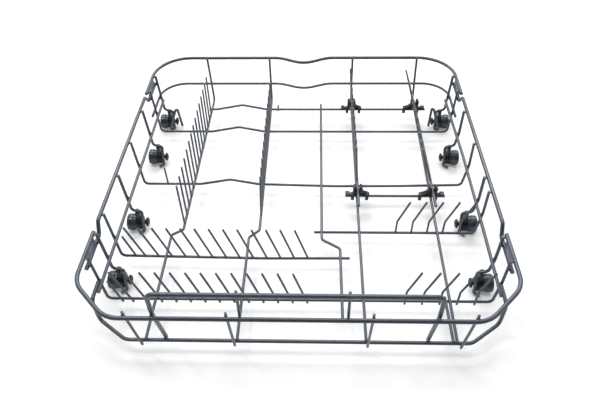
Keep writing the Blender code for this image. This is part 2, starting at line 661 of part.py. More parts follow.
def wheel_mesh():
    """The roller, turned round X with x = 0 at the inner end of its hub. It stands on a flat of its tread."""
    bore = WHEEL_BORE / 2
    hub = WHEEL_HUB_DIAMETER / 2
    tread = WHEEL_DIAMETER / 2 / math.cos(math.pi / TURNED_SIDES)
    inner = WHEEL_HUB_LENGTH
    outer = WHEEL_HUB_LENGTH + WHEEL_WIDTH
    face = outer - AXLE_HEAD_LENGTH - AXLE_CLEARANCE
    profile = [
        (0, bore),
        (0, hub),
        (inner - WHEEL_FLANGE, tread - WHEEL_ROUNDING),
        (inner + WHEEL_ROUNDING, tread),
        (outer - WHEEL_ROUNDING * 1.5, tread),
        (outer, tread - WHEEL_ROUNDING * 1.5),
        (outer, tread - WHEEL_TREAD_WALL),
        (outer - WHEEL_RECESS, tread - WHEEL_TREAD_WALL),
        (outer - WHEEL_RECESS, bore + WHEEL_BOSS_WALL),
        (face, bore + WHEEL_BOSS_WALL),
        (face, bore),
    ]
    return turned_mesh(profile, TURNED_SIDES)


def holder_mesh():
    """The wheel holder at the right side, round the axle's own y = z = 0: a spool that traps the post, and the axle."""
    axle = WHEEL_BORE / 2 - AXLE_CLEARANCE
    cap, disc = CAP_DIAMETER / 2, HOLDER_DIAMETER / 2
    head = axle + AXLE_HEAD_RIM
    cap_end = CAP_OUTER_X - CAP_LENGTH
    profile = [
        (cap_end, 0),
        (cap_end, cap - CAP_ROUNDING),
        (CAP_OUTER_X, cap),
        (CAP_OUTER_X, axle),
        (HOLDER_INNER_X, axle),
        (HOLDER_INNER_X, disc),
        (HOLDER_OUTER_X, disc),
        (HOLDER_OUTER_X, axle),
        (WHEEL_OUTER_X - AXLE_HEAD_LENGTH, axle),
        (WHEEL_OUTER_X - AXLE_HEAD_LENGTH, head),
        (WHEEL_OUTER_X, head),
        (WHEEL_OUTER_X, 0),
    ]
    return turned_mesh(profile, TURNED_SIDES)


def make_wheels(coated, rubber, black):
    wheel = wheel_mesh()
    for side, word in ((-1, "left"), (1, "right")):
        for number, y in enumerate(WHEEL_Y, 1):
            hooked = number == 1
            path = bent(post_points(side, hooked), FOOT_RADIUS)
            add_node(f"wheel_post_{word}_{number}", swept([path], POST_WIRE, THIN_WIRE_SIDES), coated, (0, y, 0))
            holder, roller = holder_mesh(), wheel.copy()
            if side < 0:
                holder, roller = mirrored(holder), mirrored(roller)
            add_node(f"wheel_holder_{word}_{number}", holder, black, (0, y, AXLE_HEIGHT))
            place = (side * WHEEL_INNER_X, y, AXLE_HEIGHT)
            add_node(f"wheel_{word}_{number}", roller, rubber, place)


def make_folding_rows(coated):
    for number, (x, tilt) in enumerate(zip(ROD_X, FOLD_TINE_TILT), 1):
        rod = swept([[(0, ROD_FRONT_Y, 0), (0, ROD_REAR_Y, 0)]], ROD_WIRE, THICK_WIRE_SIDES)
        top = (-FOLD_TINE_LENGTH * math.sin(tilt), FOLD_TINE_LENGTH * math.cos(tilt))
        ys = [FOLD_TINE_REAR_Y - TINE_PITCH * step for step in range(FOLD_TINES)]
        tines = swept([[(0, y, 0), (top[0], y, top[1])] for y in ys], TINE_WIRE, THIN_WIRE_SIDES)
        add_node(f"folding_row_{number}", combined(rod, tines, "UNION"), coated, (x, 0, ROD_HEIGHT))


def clip_mesh(feet):
    """A rod clip round the rod's own axis: a base over the long wire, two ears and two hooked feet."""
    half_depth = CLIP_DEPTH / 2
    base_top = -ROD_WIRE / 2 - CLIP_CLEARANCE
    base_low = LONG_HEIGHT + FLOOR_WIRE / 2 + CLIP_CLEARANCE - ROD_HEIGHT
    wire_height = FLOOR_HEIGHT - ROD_HEIGHT
    groove = FLOOR_WIRE / 2 + CLIP_CLEARANCE
    body = box_mesh((-CLIP_LENGTH / 2, -half_depth, base_low), (CLIP_LENGTH / 2, half_depth, base_top))
    ear_x = ROD_WIRE / 2 + CLIP_CLEARANCE
    for side in (-1, 1):
        xs = sorted((side * ear_x, side * (ear_x + CLIP_EAR_THICKNESS)))
        outline_low = (xs[0], -half_depth + 0.001, base_low + 0.001)
        ear = box_mesh(outline_low, (xs[1], half_depth - 0.001, CLIP_EAR_HEIGHT))
        body = combined(body, ear, "UNION")
    for x in feet:
        low = (x - CLIP_FOOT_WIDTH / 2, -groove - CLIP_FOOT_WALL, wire_height - groove - CLIP_FOOT_WALL)
        high = (x + CLIP_FOOT_WIDTH / 2, groove + CLIP_FOOT_WALL, base_low + 0.001)
        foot = box_mesh(low, high)
        bore = swept([[(x - 0.02, 0, wire_height), (x + 0.02, 0, wire_height)]], 2 * groove, THICK_WIRE_SIDES)
        foot = combined(foot, bore, "DIFFERENCE")
        mouth_low = (x - 0.02, 0, wire_height - groove - 0.01)
        mouth = box_mesh(mouth_low, (x + 0.02, groove + 0.01, wire_height - FLOOR_WIRE / 5))
        body = combined(body, combined(foot, mouth, "DIFFERENCE"), "UNION")
    return body


def make_clips(black):
    number = 1
    for y in (CROSS_A_Y, CLIP_WIRE_Y):
        for x, feet in zip(ROD_X, CLIP_FOOT_X):
            add_node(f"row_clip_{number}", clip_mesh(feet), black, (x, y, ROD_HEIGHT))
            number += 1


def main():
    clear_scene()
    basket = bpy.data.objects.new("basket", None)
    bpy.context.scene.collection.objects.link(basket)
    coated = make_material("coated wire", (0.125, 0.135, 0.150), 0.45)
    plate_metal = make_material("joint plate", (0.205, 0.205, 0.270), 0.5)
    rubber = make_material("wheel plastic", (0.062, 0.090, 0.115), 0.4)
    black = make_material("black plastic", (0.010, 0.012, 0.018), 0.35)
    make_rim(coated, plate_metal)
    make_mid_rail(coated)
    make_front(coated)
    make_cross_wires(coated)
    make_long_wires(coated)
    make_wheels(coated, rubber, black)
    make_folding_rows(coated)
    make_clips(black)


main()
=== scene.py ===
"""Looks of the dishwasher's lower basket: coated wires with rounded ends, weld collars, rollers and clips.

Metres, +Z up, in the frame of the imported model. The wires' routes repeat those of the part's source, with the
small shifts that the photograph shows.
"""

import math

import bmesh
import bpy
import numpy as np
from mathutils import Matrix, Vector


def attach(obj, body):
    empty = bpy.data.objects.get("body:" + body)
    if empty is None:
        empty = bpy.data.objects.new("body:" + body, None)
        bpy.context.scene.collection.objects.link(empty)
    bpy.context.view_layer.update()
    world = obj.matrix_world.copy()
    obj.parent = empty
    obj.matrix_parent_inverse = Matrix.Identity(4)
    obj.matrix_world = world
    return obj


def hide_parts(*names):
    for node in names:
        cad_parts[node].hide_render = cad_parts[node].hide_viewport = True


# Wire thicknesses
RIM_WIRE = 0.0055
MID_WIRE = 0.0045
FRONT_WIRE = 0.0050
POST_WIRE = 0.0045
FLOOR_WIRE = 0.0040
STAY_WIRE = 0.0035
TINE_WIRE = 0.0030
ROD_WIRE = 0.0045
HANDLE_WIRE = 0.0055
WELD_GAP = 0.0003
# How far two wires of one node run into each other, and a tine of the front row into its wire
WELD_BITE = 0.0006
TINE_BITE = 0.0008

# Rim and walls
HALF_WIDTH = 0.265
HALF_DEPTH = 0.278
RIM_HEIGHT = 0.109
REAR_CORNER_RADIUS = 0.060
FRONT_CHAMFER = 0.049
FRONT_BEND_RADIUS = 0.038
REAR_LAP_Y = 0.1630
FRONT_LAP_Y = -0.1485
SIDE_WIRE_ENDS = (-0.1975, 0.2185)
# Each side wire drops under the U wires at the laps: how far, and each drop's y and length
LAP_DROP = 0.0155
FRONT_DROP = (-0.1285, 0.0115)
REAR_DROP = (0.1520, 0.0130)
DROP_RADIUS = 0.0060
NOTCH_WIDTH = 0.104
RIM_NOTCH_DEPTH = 0.0160
MID_NOTCH_DEPTH = 0.0140
PLATE_THICKNESS = 0.0016
PLATE_SPANS = ((-0.1895, -0.15675), (0.1727, 0.21175))
SIDE_LEAN = 0.0037
REAR_LEAN = 0.0110
FRONT_LEAN = 0.0235
WALL_TOP = RIM_HEIGHT + 0.0015

# Middle rail
MID_HEIGHT = RIM_HEIGHT - 0.0445
MID_CORNER_RADIUS = 0.045
MID_LAP_Y = 0.1600
MID_SIDE_ENDS = (-0.2120, 0.2090)
# The right wall is sprung outwards at the height of its middle rail: y and how far, from front to rear
RIGHT_BOW = (
    (-0.2120, 0.0014), (-0.1535, 0.0020), (-0.0500, 0.0030), (0.0600, 0.0034), (0.1650, 0.0010), (0.2090, 0.0),
)
BOW_RADIUS = 0.060
RAIL_BOW_RADIUS = 0.400
# Floor wires sprung forwards between their welds: x and the shift in y
SPRUNG_RADIUS = 0.500
CROSS_C_BOW = ((0.0500, -0.0040), (0.1600, -0.0030))
CROSS_D_BOW = ((-0.0500, -0.0034), (0.0715, -0.0022))

# Floor
FLOOR_HEIGHT = 0.024
LONG_HEIGHT = FLOOR_HEIGHT + FLOOR_WIRE + WELD_GAP
FLOOR_CORNER_RADIUS = 0.007
LONG_CORNER_RADIUS = 0.010
PEAK_RISE = 0.010
PEAK_X = (-0.1638, -0.1150, -0.0695)
PEAK_RADIUS = 0.020
# From rear to front, A is cross wire 1, B is 2, C is 3, D is 4 at the right and 5 at the left, and E is 6
CROSS_A_Y = 0.2370
CROSS_A_ENDS = (-0.1785, 0.2260)
CROSS_B_Y = 0.1697
CROSS_C_Y = 0.0320
CROSS_D_RIGHT_Y = -0.0715
CROSS_D_RIGHT_END = 0.0205
CROSS_D_LEFT_Y = -0.1185
CROSS_E_Y = -0.1925
CLIP_WIRE_Y = 0.0060
CLIP_WIRE_ENDS = (0.0700, 0.2260)
STUB_X = -0.0485
STUB_LENGTH = 0.016
JOG_Y = -0.0720
JOG_RADIUS = 0.006
# Of each long wire, x at the wall's top, at the floor's rear and at the jog, and the jog's shift in x and y.
# Of its tines, the first place and the count, and how far their tops lean.
LONG_WIRES = {
    1: {"xs": (-0.1766, -0.1718, -0.1744), "jog": (-0.0158, 0.0105), "tines": (0, 15), "lean": 0.0012},
    2: {"xs": (-0.0625, -0.0615, -0.0605), "jog": (-0.0146, 0.0145), "tines": (1, 13), "lean": 0.0040},
    4: {"xs": (0.0886, 0.0889, 0.0862)},
    5: {"xs": (0.2046, 0.2057, 0.1990)},
}
LONG_3_X = 0.0318
LONG_3_JOG = (0.0262, 0.0170)
# The third long wire's rear end, its jog and its front end
LONG_3_YS = (0.2460, -0.0895, -0.2260)
LONG_6_X = 0.1942

# Tines
TINE_PITCH = 0.0198
REAR_TINE_Y = 0.2163
LONG_TINE_TOP = RIM_HEIGHT - 0.0010
ROW_TINE_X = -0.2216
ROW_TINE_PITCH = 0.0195
ROW_TINES = 13
ROW_TINE_HEIGHT = 0.0600
ROW_TINE_LEAN = -0.0180
SHORT_TINE_X = -0.2356
SHORT_TINE_HEIGHT = 0.0410
SHORT_TINE_LEAN = -0.0105
BENT_TINE_X = 0.2331
BENT_TINE_PITCH = 0.0230
BENT_TINES = 5
BENT_TINE_UPRIGHT = 0.0240
BENT_TINE_TOP = 0.0400
BENT_TINE_LEAN = 0.0143
BENT_TINE_RADIUS = 0.008
TINE_UNDERRUN = 0.0028
STUB_TINE_X = -0.2179
STUB_TINE_HEIGHT = 0.0350

# Front rail, stays and handle
FRONT_RAIL_ARM_Y = -0.1950
# The foot of the rail's arm: its x, and how far the corner runs inwards and forwards from there
FRONT_RAIL_CORNER = (0.2580, 0.0400, 0.0285)
FRONT_RAIL_LEAN = 0.001
FRONT_RAIL_RADIUS = 0.008
FRONT_RAIL_CORNER_RADIUS = 0.018
LONG_END_AHEAD = FRONT_WIRE / 5
STAY_X = (-0.1958, -0.0785, 0.0883, 0.2045)
STAY_ABOVE = 0.0045
STAY_BELOW = 0.0040
STAY_CLEARANCE = 0.0007
HANDLE_HEIGHT = RIM_HEIGHT + 0.0430
HANDLE_HALF_WIDTH = 0.1600
HANDLE_FOOT_SPREAD = (0.0073, 0.0050)
HANDLE_RADIUS = 0.009
HANDLE_KNEE_RADIUS = 0.020
HANDLE_LEAN = 0.0038
HANDLE_POST_X = (-0.0628, 0.0598)
HANDLE_POST_ABOVE = 0.002

# Wheels
AXLE_HEIGHT = 0.013
WHEEL_Y = (0.2150, 0.1126, -0.0423, -0.1535)
HOLDER_THICKNESS = 0.0074
CAP_LENGTH = 0.0036
HOLDER_CLEARANCE = 0.00035
AXLE_CLEARANCE = 0.0004
POST_BEND_HEIGHT = 0.0390
POST_OVER_HEIGHT = 0.0360
POST_NECK_HEIGHT = 0.0220
POST_INWARD = 0.01465
POST_AHEAD = 0.0062
POST_BEND_RADIUS = 0.0070
POST_OVER_RADIUS = 0.0050
FOOT_HEIGHT = 0.0042
FOOT_START_AHEAD = 0.0105
FOOT_END_AHEAD = 0.0160
FOOT_END_OUTWARD = 0.0074
FOOT_RADIUS = 0.0032
# The rear posts end in a hook. Its peak and its end: how far inwards, the shift in y and the height
HOOK_PEAK = {"left": (0.0101, -0.0060, 0.0515), "right": (0.0098, -0.0060, 0.0560)}
HOOK_RADIUS = 0.0026
HOOK_END = {"left": (0.0130, -0.0030, 0.0048), "right": (0.0098, -0.0030, 0.0048)}

# Folding rows and their clips
ROD_X = (0.0885, 0.2050)
ROD_HEIGHT = LONG_HEIGHT + 0.0087
ROD_ENDS = (-0.0290, 0.2485)
FOLD_TINE_REAR_Y = 0.2460
FOLD_TINES = 12
FOLD_TINE_LENGTH = 0.0690
FOLD_TINE_TILT = (math.radians(3.8), math.radians(18.5))
# Each clip's two feet, from its rod
CLIP_FOOT_X = ((-0.0075, 0.0150), (-0.0180, 0.0068))

# Joint plates: the strip's corners and edges, and the pressed bead along its middle
PLATE_CORNER = 0.0018
PLATE_EDGE = 0.0004
BEAD_INSET = 0.006
BEAD_RISE = 0.0009
BEAD_CORNER = 0.0008
BEAD_PROUD = 0.0004
BEAD_EDGE = 0.0003

# Ribs round the axle of a roller and of its holder
ROLLER_RIBS = 6
HOLDER_RIBS = 14

# Welds: how near two wires lie where they are welded, and the share of their radii under which they run
# into each other. A collar's reach is a share of the thinner wire's radius, and a tine's of its own.
# A tine has its collar where it leaves its wire, at a share of that wire's radius.
WELD_REACH = 0.0012
WELD_BOX_MARGIN = 0.001
WELD_OVERLAP = 0.3
COLLAR_REACH = 0.98
TINE_COLLAR_RISE = 0.95
TINE_COLLAR_REACH = 1.25
COLLAR_SHAPE = {"flatness": 0.72, "segments": 10, "rings": 6, "unevenness": 0.12, "seed": 11}

# Fineness
MM = 0.001
STRAIGHT = 1e-3
PARALLEL = 1e-12
ARC_STEP = math.radians(9)
NOTCH_STEPS = 24
WIRE_SIDES = 16
TINE_SIDES = 12
TURNED_SIDES = 56
DOME_STEPS = 4
DOME_ANGLE = math.radians(82)
CORNER_STEPS = 4
MERGE_DISTANCE = 1e-6
EDGE_SEGMENTS = 2
EDGE_ANGLE = math.radians(30)
SMOOTH_ANGLE = math.radians(35)

# The photograph's camera
FRAME_SIZE = (600, 400)
CAMERA_PLACE = (0.0216, -0.6179, 0.6405)
CAMERA_PITCH = math.radians(45.1)
CAMERA_YAW = math.radians(-2.2)
CAMERA_ROLL = math.radians(-1.28)
CAMERA_FOCAL_PIXELS = 552
CAMERA_CLIP = (0.01, 50)
SENSOR = 36.0

# Light: the strength of the room in front of the basket and behind it, as light and as a reflection. It
# changes with the ray's direction, between two values of its Y. Each lamp has its place, size and power.
WHITE = (1, 1, 1, 1)
ROOM_LIGHT = (0.10, 0.50)
ROOM_REFLECTION = (0.12, 0.75)
ROOM_FADE = (0.75, -0.45)
LAMP_TARGET = (0, 0, 0.05)
LAMPS = (
    ("rear softbox", (0.0, 1.5, 1.7), (2.2, 0.9), 33),
    ("overhead softbox", (0.0, 0.0, 2.1), (1.2, 0.8), 13),
    ("left spot", (-0.85, 0.0, 1.85), (0.22, 0.22), 5),
)

# Ground: half its side, its surface, and how the camera sees it whiten between two distances from the basket
GROUND_REACH = 6.0
GROUND_SURFACE = {"Base Color": (0.93, 0.93, 0.93, 1), "Roughness": 0.9, "Specular IOR Level": 0.1}
GROUND_WHITENING = {"From Min": 0.8, "From Max": 2.2, "To Min": 0.20, "To Max": 1.0}

SIDES = ((-1, "left"), (1, "right"))

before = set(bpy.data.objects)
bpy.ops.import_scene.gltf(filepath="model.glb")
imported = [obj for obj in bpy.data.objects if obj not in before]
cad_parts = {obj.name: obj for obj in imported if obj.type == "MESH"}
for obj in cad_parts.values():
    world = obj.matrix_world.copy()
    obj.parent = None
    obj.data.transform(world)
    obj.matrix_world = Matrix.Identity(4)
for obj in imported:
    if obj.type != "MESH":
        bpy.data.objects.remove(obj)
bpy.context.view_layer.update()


# Routes of the wires
POST_REACH = (RIM_WIRE + POST_WIRE) / 2 + WELD_GAP
WALL_X = HALF_WIDTH - POST_REACH


def wall_x(height):
    """Distance from the middle plane to the wires of a side wall, at a height."""
    return WALL_X - SIDE_LEAN * (RIM_HEIGHT - height) / (RIM_HEIGHT - FLOOR_HEIGHT)


def rear_y(height):
    """Y of the long wires where they climb the rear wall, at a height."""
    top = HALF_DEPTH - (RIM_WIRE + FLOOR_WIRE) / 2 - WELD_GAP
    return top - REAR_LEAN * (RIM_HEIGHT - height) / (RIM_HEIGHT - LONG_HEIGHT)


MID_REACH = (MID_WIRE + POST_WIRE) / 2 + WELD_GAP
MID_REAR_Y = rear_y(MID_HEIGHT) - (MID_WIRE + FLOOR_WIRE) / 2 - WELD_GAP
FRONT_RAIL_HEIGHT = LONG_HEIGHT - (FLOOR_WIRE + FRONT_WIRE) / 2 - WELD_GAP
FRONT_RAIL_Y = -HALF_DEPTH + FRONT_LEAN
POST_X = wall_x(POST_BEND_HEIGHT) - POST_INWARD
HOLDER_INNER_X = POST_X + POST_WIRE / 2 + HOLDER_CLEARANCE
CAP_OUTER_X = POST_X - POST_WIRE / 2 - HOLDER_CLEARANCE
WHEEL_INNER_X = HOLDER_INNER_X + HOLDER_THICKNESS + AXLE_CLEARANCE


def bent(points, radius):
    """The corner points joined by straight runs, with an arc at each inner corner.

    A point may be followed by its own radius, as (point, radius), and 0 leaves it a corner.
    """
    corners = [p if isinstance(p[0], tuple) else (p, radius) for p in points]
    places = [Vector(place) for place, _ in corners]
    path = [places[0]]
    for i in range(1, len(places) - 1):
        before = (places[i - 1] - places[i]).normalized()
        after = (places[i + 1] - places[i]).normalized()
        turn = math.pi - before.angle(after)
        own = corners[i][1]
        if turn < STRAIGHT or own == 0:
            path.append(places[i])
            continue
        reach = own * math.tan(turn / 2)
        start = places[i] + before * reach
        centre = places[i] + (before + after).normalized() * own / math.cos(turn / 2)
        axis = after.cross(before).normalized()
        steps = max(2, math.ceil(turn / ARC_STEP))
        for step in range(steps + 1):
            path.append(centre + Matrix.Rotation(turn * step / steps, 3, axis) @ (start - centre))
    path.append(places[-1])
    return path


def mirror_point(p):
    """The point on the other side of the middle plane, with its own radius if it has one."""
    if isinstance(p[0], tuple):
        return (mirror_point(p[0]), p[1])
    return (-p[0], p[1], p[2])


def across(points):
    """The points of a left half, followed by their mirror points back to the start."""
    return points + [mirror_point(p) for p in reversed(points)]


def notch(depth, y, height):
    """Points of the smooth dip in the middle of a rear wire, from left to right."""
    points = []
    for step in range(NOTCH_STEPS + 1):
        x = NOTCH_WIDTH * (step / NOTCH_STEPS - 0.5)
        dip = depth * (1 + math.cos(2 * math.pi * x / NOTCH_WIDTH)) / 2
        points.append(((x, y - dip, height), 0))
    return points


def bow(side, y):
    """How far a wall stands outwards at the height of its middle rail."""
    return float(np.interp(y, *zip(*RIGHT_BOW))) if side > 0 else 0.0


def mid_point(side, y):
    """The point of a side wall's wire at the middle rail, with the radius of its bow."""
    return ((side * (wall_x(MID_HEIGHT) + bow(side, y)), y, MID_HEIGHT), BOW_RADIUS)


def side_arm(y, side=-1):
    """Points of a cross wire down a side wall, to the floor's corner."""
    top = (side * wall_x(WALL_TOP), y, WALL_TOP)
    return [top, mid_point(side, y), (side * wall_x(FLOOR_HEIGHT), y, FLOOR_HEIGHT)]


def peak(y):
    """The raised kink of a cross wire between the two left tine rows."""
    heights = (FLOOR_HEIGHT, FLOOR_HEIGHT + PEAK_RISE, FLOOR_HEIGHT)
    return [((x, y, height), PEAK_RADIUS) for x, height in zip(PEAK_X, heights)]


# The wires, as node: list of (path, diameter, count, step). A count over 1 repeats a tine by its step.
routes = {}


def wire(node, points, diameter, radius=0.01, count=1, step=(0, 0, 0)):
    """Adds a wire with its bends to a node's routes."""
    routes.setdefault(node, []).append((bent(points, radius), diameter, count, step))


def row_of_tines(node, y, foot, sprung=None):
    """The leaning row of tines on a front cross wire, with its short outer one.

    Where the wire is sprung forwards, given as (x, shift in y), the tines follow it.
    """
    top = FLOOR_HEIGHT + ROW_TINE_HEIGHT
    spans = [(0, ROW_TINES, y, 0)]
    if sprung:
        turn, shift = sprung
        slope = shift / (turn + wall_x(FLOOR_HEIGHT))
        start = y + slope * (ROW_TINE_X + wall_x(FLOOR_HEIGHT))
        before = int((turn - ROW_TINE_X) / ROW_TINE_PITCH) + 1
        spans = [(0, before, start, slope * ROW_TINE_PITCH), (before, ROW_TINES - before, y + shift, 0)]
    for first, count, at, drift in spans:
        x = ROW_TINE_X + ROW_TINE_PITCH * first
        points = [(x, at, foot), (x + ROW_TINE_LEAN, at, top)]
        wire(node, points, TINE_WIRE, count=count, step=(ROW_TINE_PITCH, drift, 0))
    short_top = (SHORT_TINE_X + SHORT_TINE_LEAN, y, FLOOR_HEIGHT + SHORT_TINE_HEIGHT)
    wire(node, [(SHORT_TINE_X, y, foot), short_top], TINE_WIRE)


def bent_tines(node, y, foot):
    """The row of tines at the front right, upright and then bent outwards."""
    knee = FLOOR_HEIGHT + BENT_TINE_UPRIGHT
    x = BENT_TINE_X
    points = [(x, y, foot), (x, y, knee), (x + BENT_TINE_LEAN, y, knee + BENT_TINE_TOP)]
    wire(node, points, TINE_WIRE, BENT_TINE_RADIUS, BENT_TINES, (-BENT_TINE_PITCH, 0, 0))


def lay_rim():
    """The four wires of the rim and the three middle rails."""
    rear = across([(-HALF_WIDTH, REAR_LAP_Y, RIM_HEIGHT), (-HALF_WIDTH, HALF_DEPTH, RIM_HEIGHT)])
    rear[2:2] = notch(RIM_NOTCH_DEPTH, HALF_DEPTH, RIM_HEIGHT)
    wire("rim_rear", rear, RIM_WIRE, REAR_CORNER_RADIUS)
    front = across([
        (-HALF_WIDTH, FRONT_LAP_Y, RIM_HEIGHT),
        (-HALF_WIDTH, -HALF_DEPTH + FRONT_CHAMFER, RIM_HEIGHT),
        (-HALF_WIDTH + FRONT_CHAMFER, -HALF_DEPTH, RIM_HEIGHT),
    ])
    wire("rim_front", front, RIM_WIRE, FRONT_BEND_RADIUS)
    low = RIM_HEIGHT - LAP_DROP
    for side, word in SIDES:
        outer, low_x = side * HALF_WIDTH, side * (wall_x(low) + POST_REACH)
        points = [
            (low_x, SIDE_WIRE_ENDS[0], low),
            (low_x, FRONT_DROP[0] - FRONT_DROP[1], low),
            (outer, FRONT_DROP[0], RIM_HEIGHT),
            (outer, REAR_DROP[0], RIM_HEIGHT),
            (low_x, REAR_DROP[0] + REAR_DROP[1], low),
            (low_x, SIDE_WIRE_ENDS[1], low),
        ]
        wire(f"rim_{word}", points, RIM_WIRE, DROP_RADIUS)
        mid_x = wall_x(MID_HEIGHT) - MID_REACH
        stops = [MID_SIDE_ENDS[0]] + [y for y, _ in RIGHT_BOW[1:-1]] + [MID_SIDE_ENDS[1]]
        rail = [(side * (mid_x + bow(side, y)), y, MID_HEIGHT) for y in stops]
        wire(f"mid_rail_{word}", rail, MID_WIRE, RAIL_BOW_RADIUS)
    mid_x = wall_x(MID_HEIGHT) + MID_REACH
    rear = across([(-mid_x, MID_LAP_Y, MID_HEIGHT), (-mid_x, MID_REAR_Y, MID_HEIGHT)])
    rear[2:2] = notch(MID_NOTCH_DEPTH, MID_REAR_Y, MID_HEIGHT)
    wire("mid_rail_rear", rear, MID_WIRE, MID_CORNER_RADIUS)


def lay_front():
    """The front floor rail, the stays above it and the handle."""
    arm_x = wall_x(MID_HEIGHT) - MID_REACH + (FRONT_WIRE + MID_WIRE) / 2 + WELD_GAP
    corner_x, run_x, run_y = FRONT_RAIL_CORNER
    rail = across([
        (-arm_x, FRONT_RAIL_ARM_Y, MID_HEIGHT),
        (-arm_x, FRONT_RAIL_Y + run_y + FRONT_RAIL_LEAN, MID_HEIGHT),
        (-corner_x, FRONT_RAIL_Y + run_y, FRONT_RAIL_HEIGHT),
        ((-corner_x + run_x, FRONT_RAIL_Y, FRONT_RAIL_HEIGHT), FRONT_RAIL_CORNER_RADIUS),
    ])
    wire("front_floor_rail", rail, FRONT_WIRE, FRONT_RAIL_RADIUS)
    wall = RIM_HEIGHT - FRONT_RAIL_HEIGHT
    lean = math.hypot(1, FRONT_LEAN / wall)
    inside_y = -HALF_DEPTH + ((RIM_WIRE + STAY_WIRE) / 2 + WELD_GAP) * lean + STAY_CLEARANCE
    outside_y = FRONT_RAIL_Y - ((FRONT_WIRE + STAY_WIRE) / 2 + WELD_GAP) * lean
    slope = (inside_y - outside_y) / wall
    heights = (FRONT_RAIL_HEIGHT - STAY_BELOW, RIM_HEIGHT + STAY_ABOVE)
    for number, x in enumerate(STAY_X, 1):
        stay = [(x, inside_y + slope * (z - RIM_HEIGHT), z) for z in heights]
        wire(f"front_stay_{number}", stay, STAY_WIRE)
    rail_y = FRONT_RAIL_Y + ((FRONT_WIRE + HANDLE_WIRE) / 2 + WELD_GAP) * lean
    rim_y = -HALF_DEPTH + ((RIM_WIRE + HANDLE_WIRE) / 2 + WELD_GAP) * lean
    foot_y = rail_y + (rail_y - rim_y) * FRONT_WIRE / 2 / wall
    bar_y = rim_y - HANDLE_LEAN
    legs = []
    for side, spread in zip((-1, 1), HANDLE_FOOT_SPREAD):
        legs.append([
            (side * (HANDLE_HALF_WIDTH + spread), foot_y, FRONT_RAIL_HEIGHT - FRONT_WIRE / 2),
            ((side * (HANDLE_HALF_WIDTH + spread / 3), rim_y, RIM_HEIGHT), HANDLE_KNEE_RADIUS),
            (side * HANDLE_HALF_WIDTH, bar_y, HANDLE_HEIGHT),
        ])
    wire("front_handle", legs[0] + legs[1][::-1], HANDLE_WIRE, HANDLE_RADIUS)
    post_y = bar_y + (HANDLE_WIRE + STAY_WIRE) / 2 - WELD_BITE
    for x in HANDLE_POST_X:
        post = [
            (x, inside_y, RIM_HEIGHT - RIM_WIRE),
            (x, inside_y, RIM_HEIGHT),
            (x, post_y, HANDLE_HEIGHT + HANDLE_POST_ABOVE),
        ]
        wire("front_handle", post, STAY_WIRE)


def lay_cross_wires():
    """The wires across the floor, with the tines that they carry."""
    radius = FLOOR_CORNER_RADIUS
    left, right = CROSS_A_ENDS
    rear = [(left, CROSS_A_Y, FLOOR_HEIGHT)] + peak(CROSS_A_Y) + [(right, CROSS_A_Y, FLOOR_HEIGHT)]
    wire("cross_wire_1", rear, FLOOR_WIRE)
    stub_height = FLOOR_HEIGHT + (FLOOR_WIRE + STAY_WIRE) / 2 - WELD_BITE
    ends = (CROSS_A_Y - STUB_LENGTH / 2, CROSS_A_Y + STUB_LENGTH / 2)
    wire("cross_wire_1", [(STUB_X, y, stub_height) for y in ends], STAY_WIRE)
    for node, y, sprung in (("cross_wire_2", CROSS_B_Y, ()), ("cross_wire_3", CROSS_C_Y, CROSS_C_BOW)):
        middle = [((x, y + shift, FLOOR_HEIGHT), SPRUNG_RADIUS) for x, shift in sprung]
        wire(node, side_arm(y) + peak(y) + middle + side_arm(y, 1)[::-1], FLOOR_WIRE, radius)
    foot, top = ((STUB_TINE_X, CROSS_C_Y, FLOOR_HEIGHT + rise) for rise in (0, STUB_TINE_HEIGHT))
    wire("cross_wire_3", [foot, top], TINE_WIRE)
    end = [(CROSS_D_RIGHT_END, CROSS_D_RIGHT_Y, FLOOR_HEIGHT)]
    wire("cross_wire_4", end + side_arm(CROSS_D_RIGHT_Y, 1)[::-1], FLOOR_WIRE, radius)
    bent_tines("cross_wire_4", CROSS_D_RIGHT_Y, FLOOR_HEIGHT)
    end = [((x, CROSS_D_LEFT_Y + shift, FLOOR_HEIGHT), SPRUNG_RADIUS) for x, shift in CROSS_D_BOW]
    wire("cross_wire_5", side_arm(CROSS_D_LEFT_Y) + end, FLOOR_WIRE, radius)
    row_of_tines("cross_wire_5", CROSS_D_LEFT_Y, FLOOR_HEIGHT, CROSS_D_BOW[0])
    wire("cross_wire_6", side_arm(CROSS_E_Y) + side_arm(CROSS_E_Y, 1)[::-1], FLOOR_WIRE, radius)
    tine_y = CROSS_E_Y - (FLOOR_WIRE + TINE_WIRE) / 2 + TINE_BITE
    row_of_tines("cross_wire_6", tine_y, FLOOR_HEIGHT - TINE_UNDERRUN)
    bent_tines("cross_wire_6", tine_y, FLOOR_HEIGHT - TINE_UNDERRUN)
    wire("clip_wire", [(x, CLIP_WIRE_Y, FLOOR_HEIGHT) for x in CLIP_WIRE_ENDS], FLOOR_WIRE)


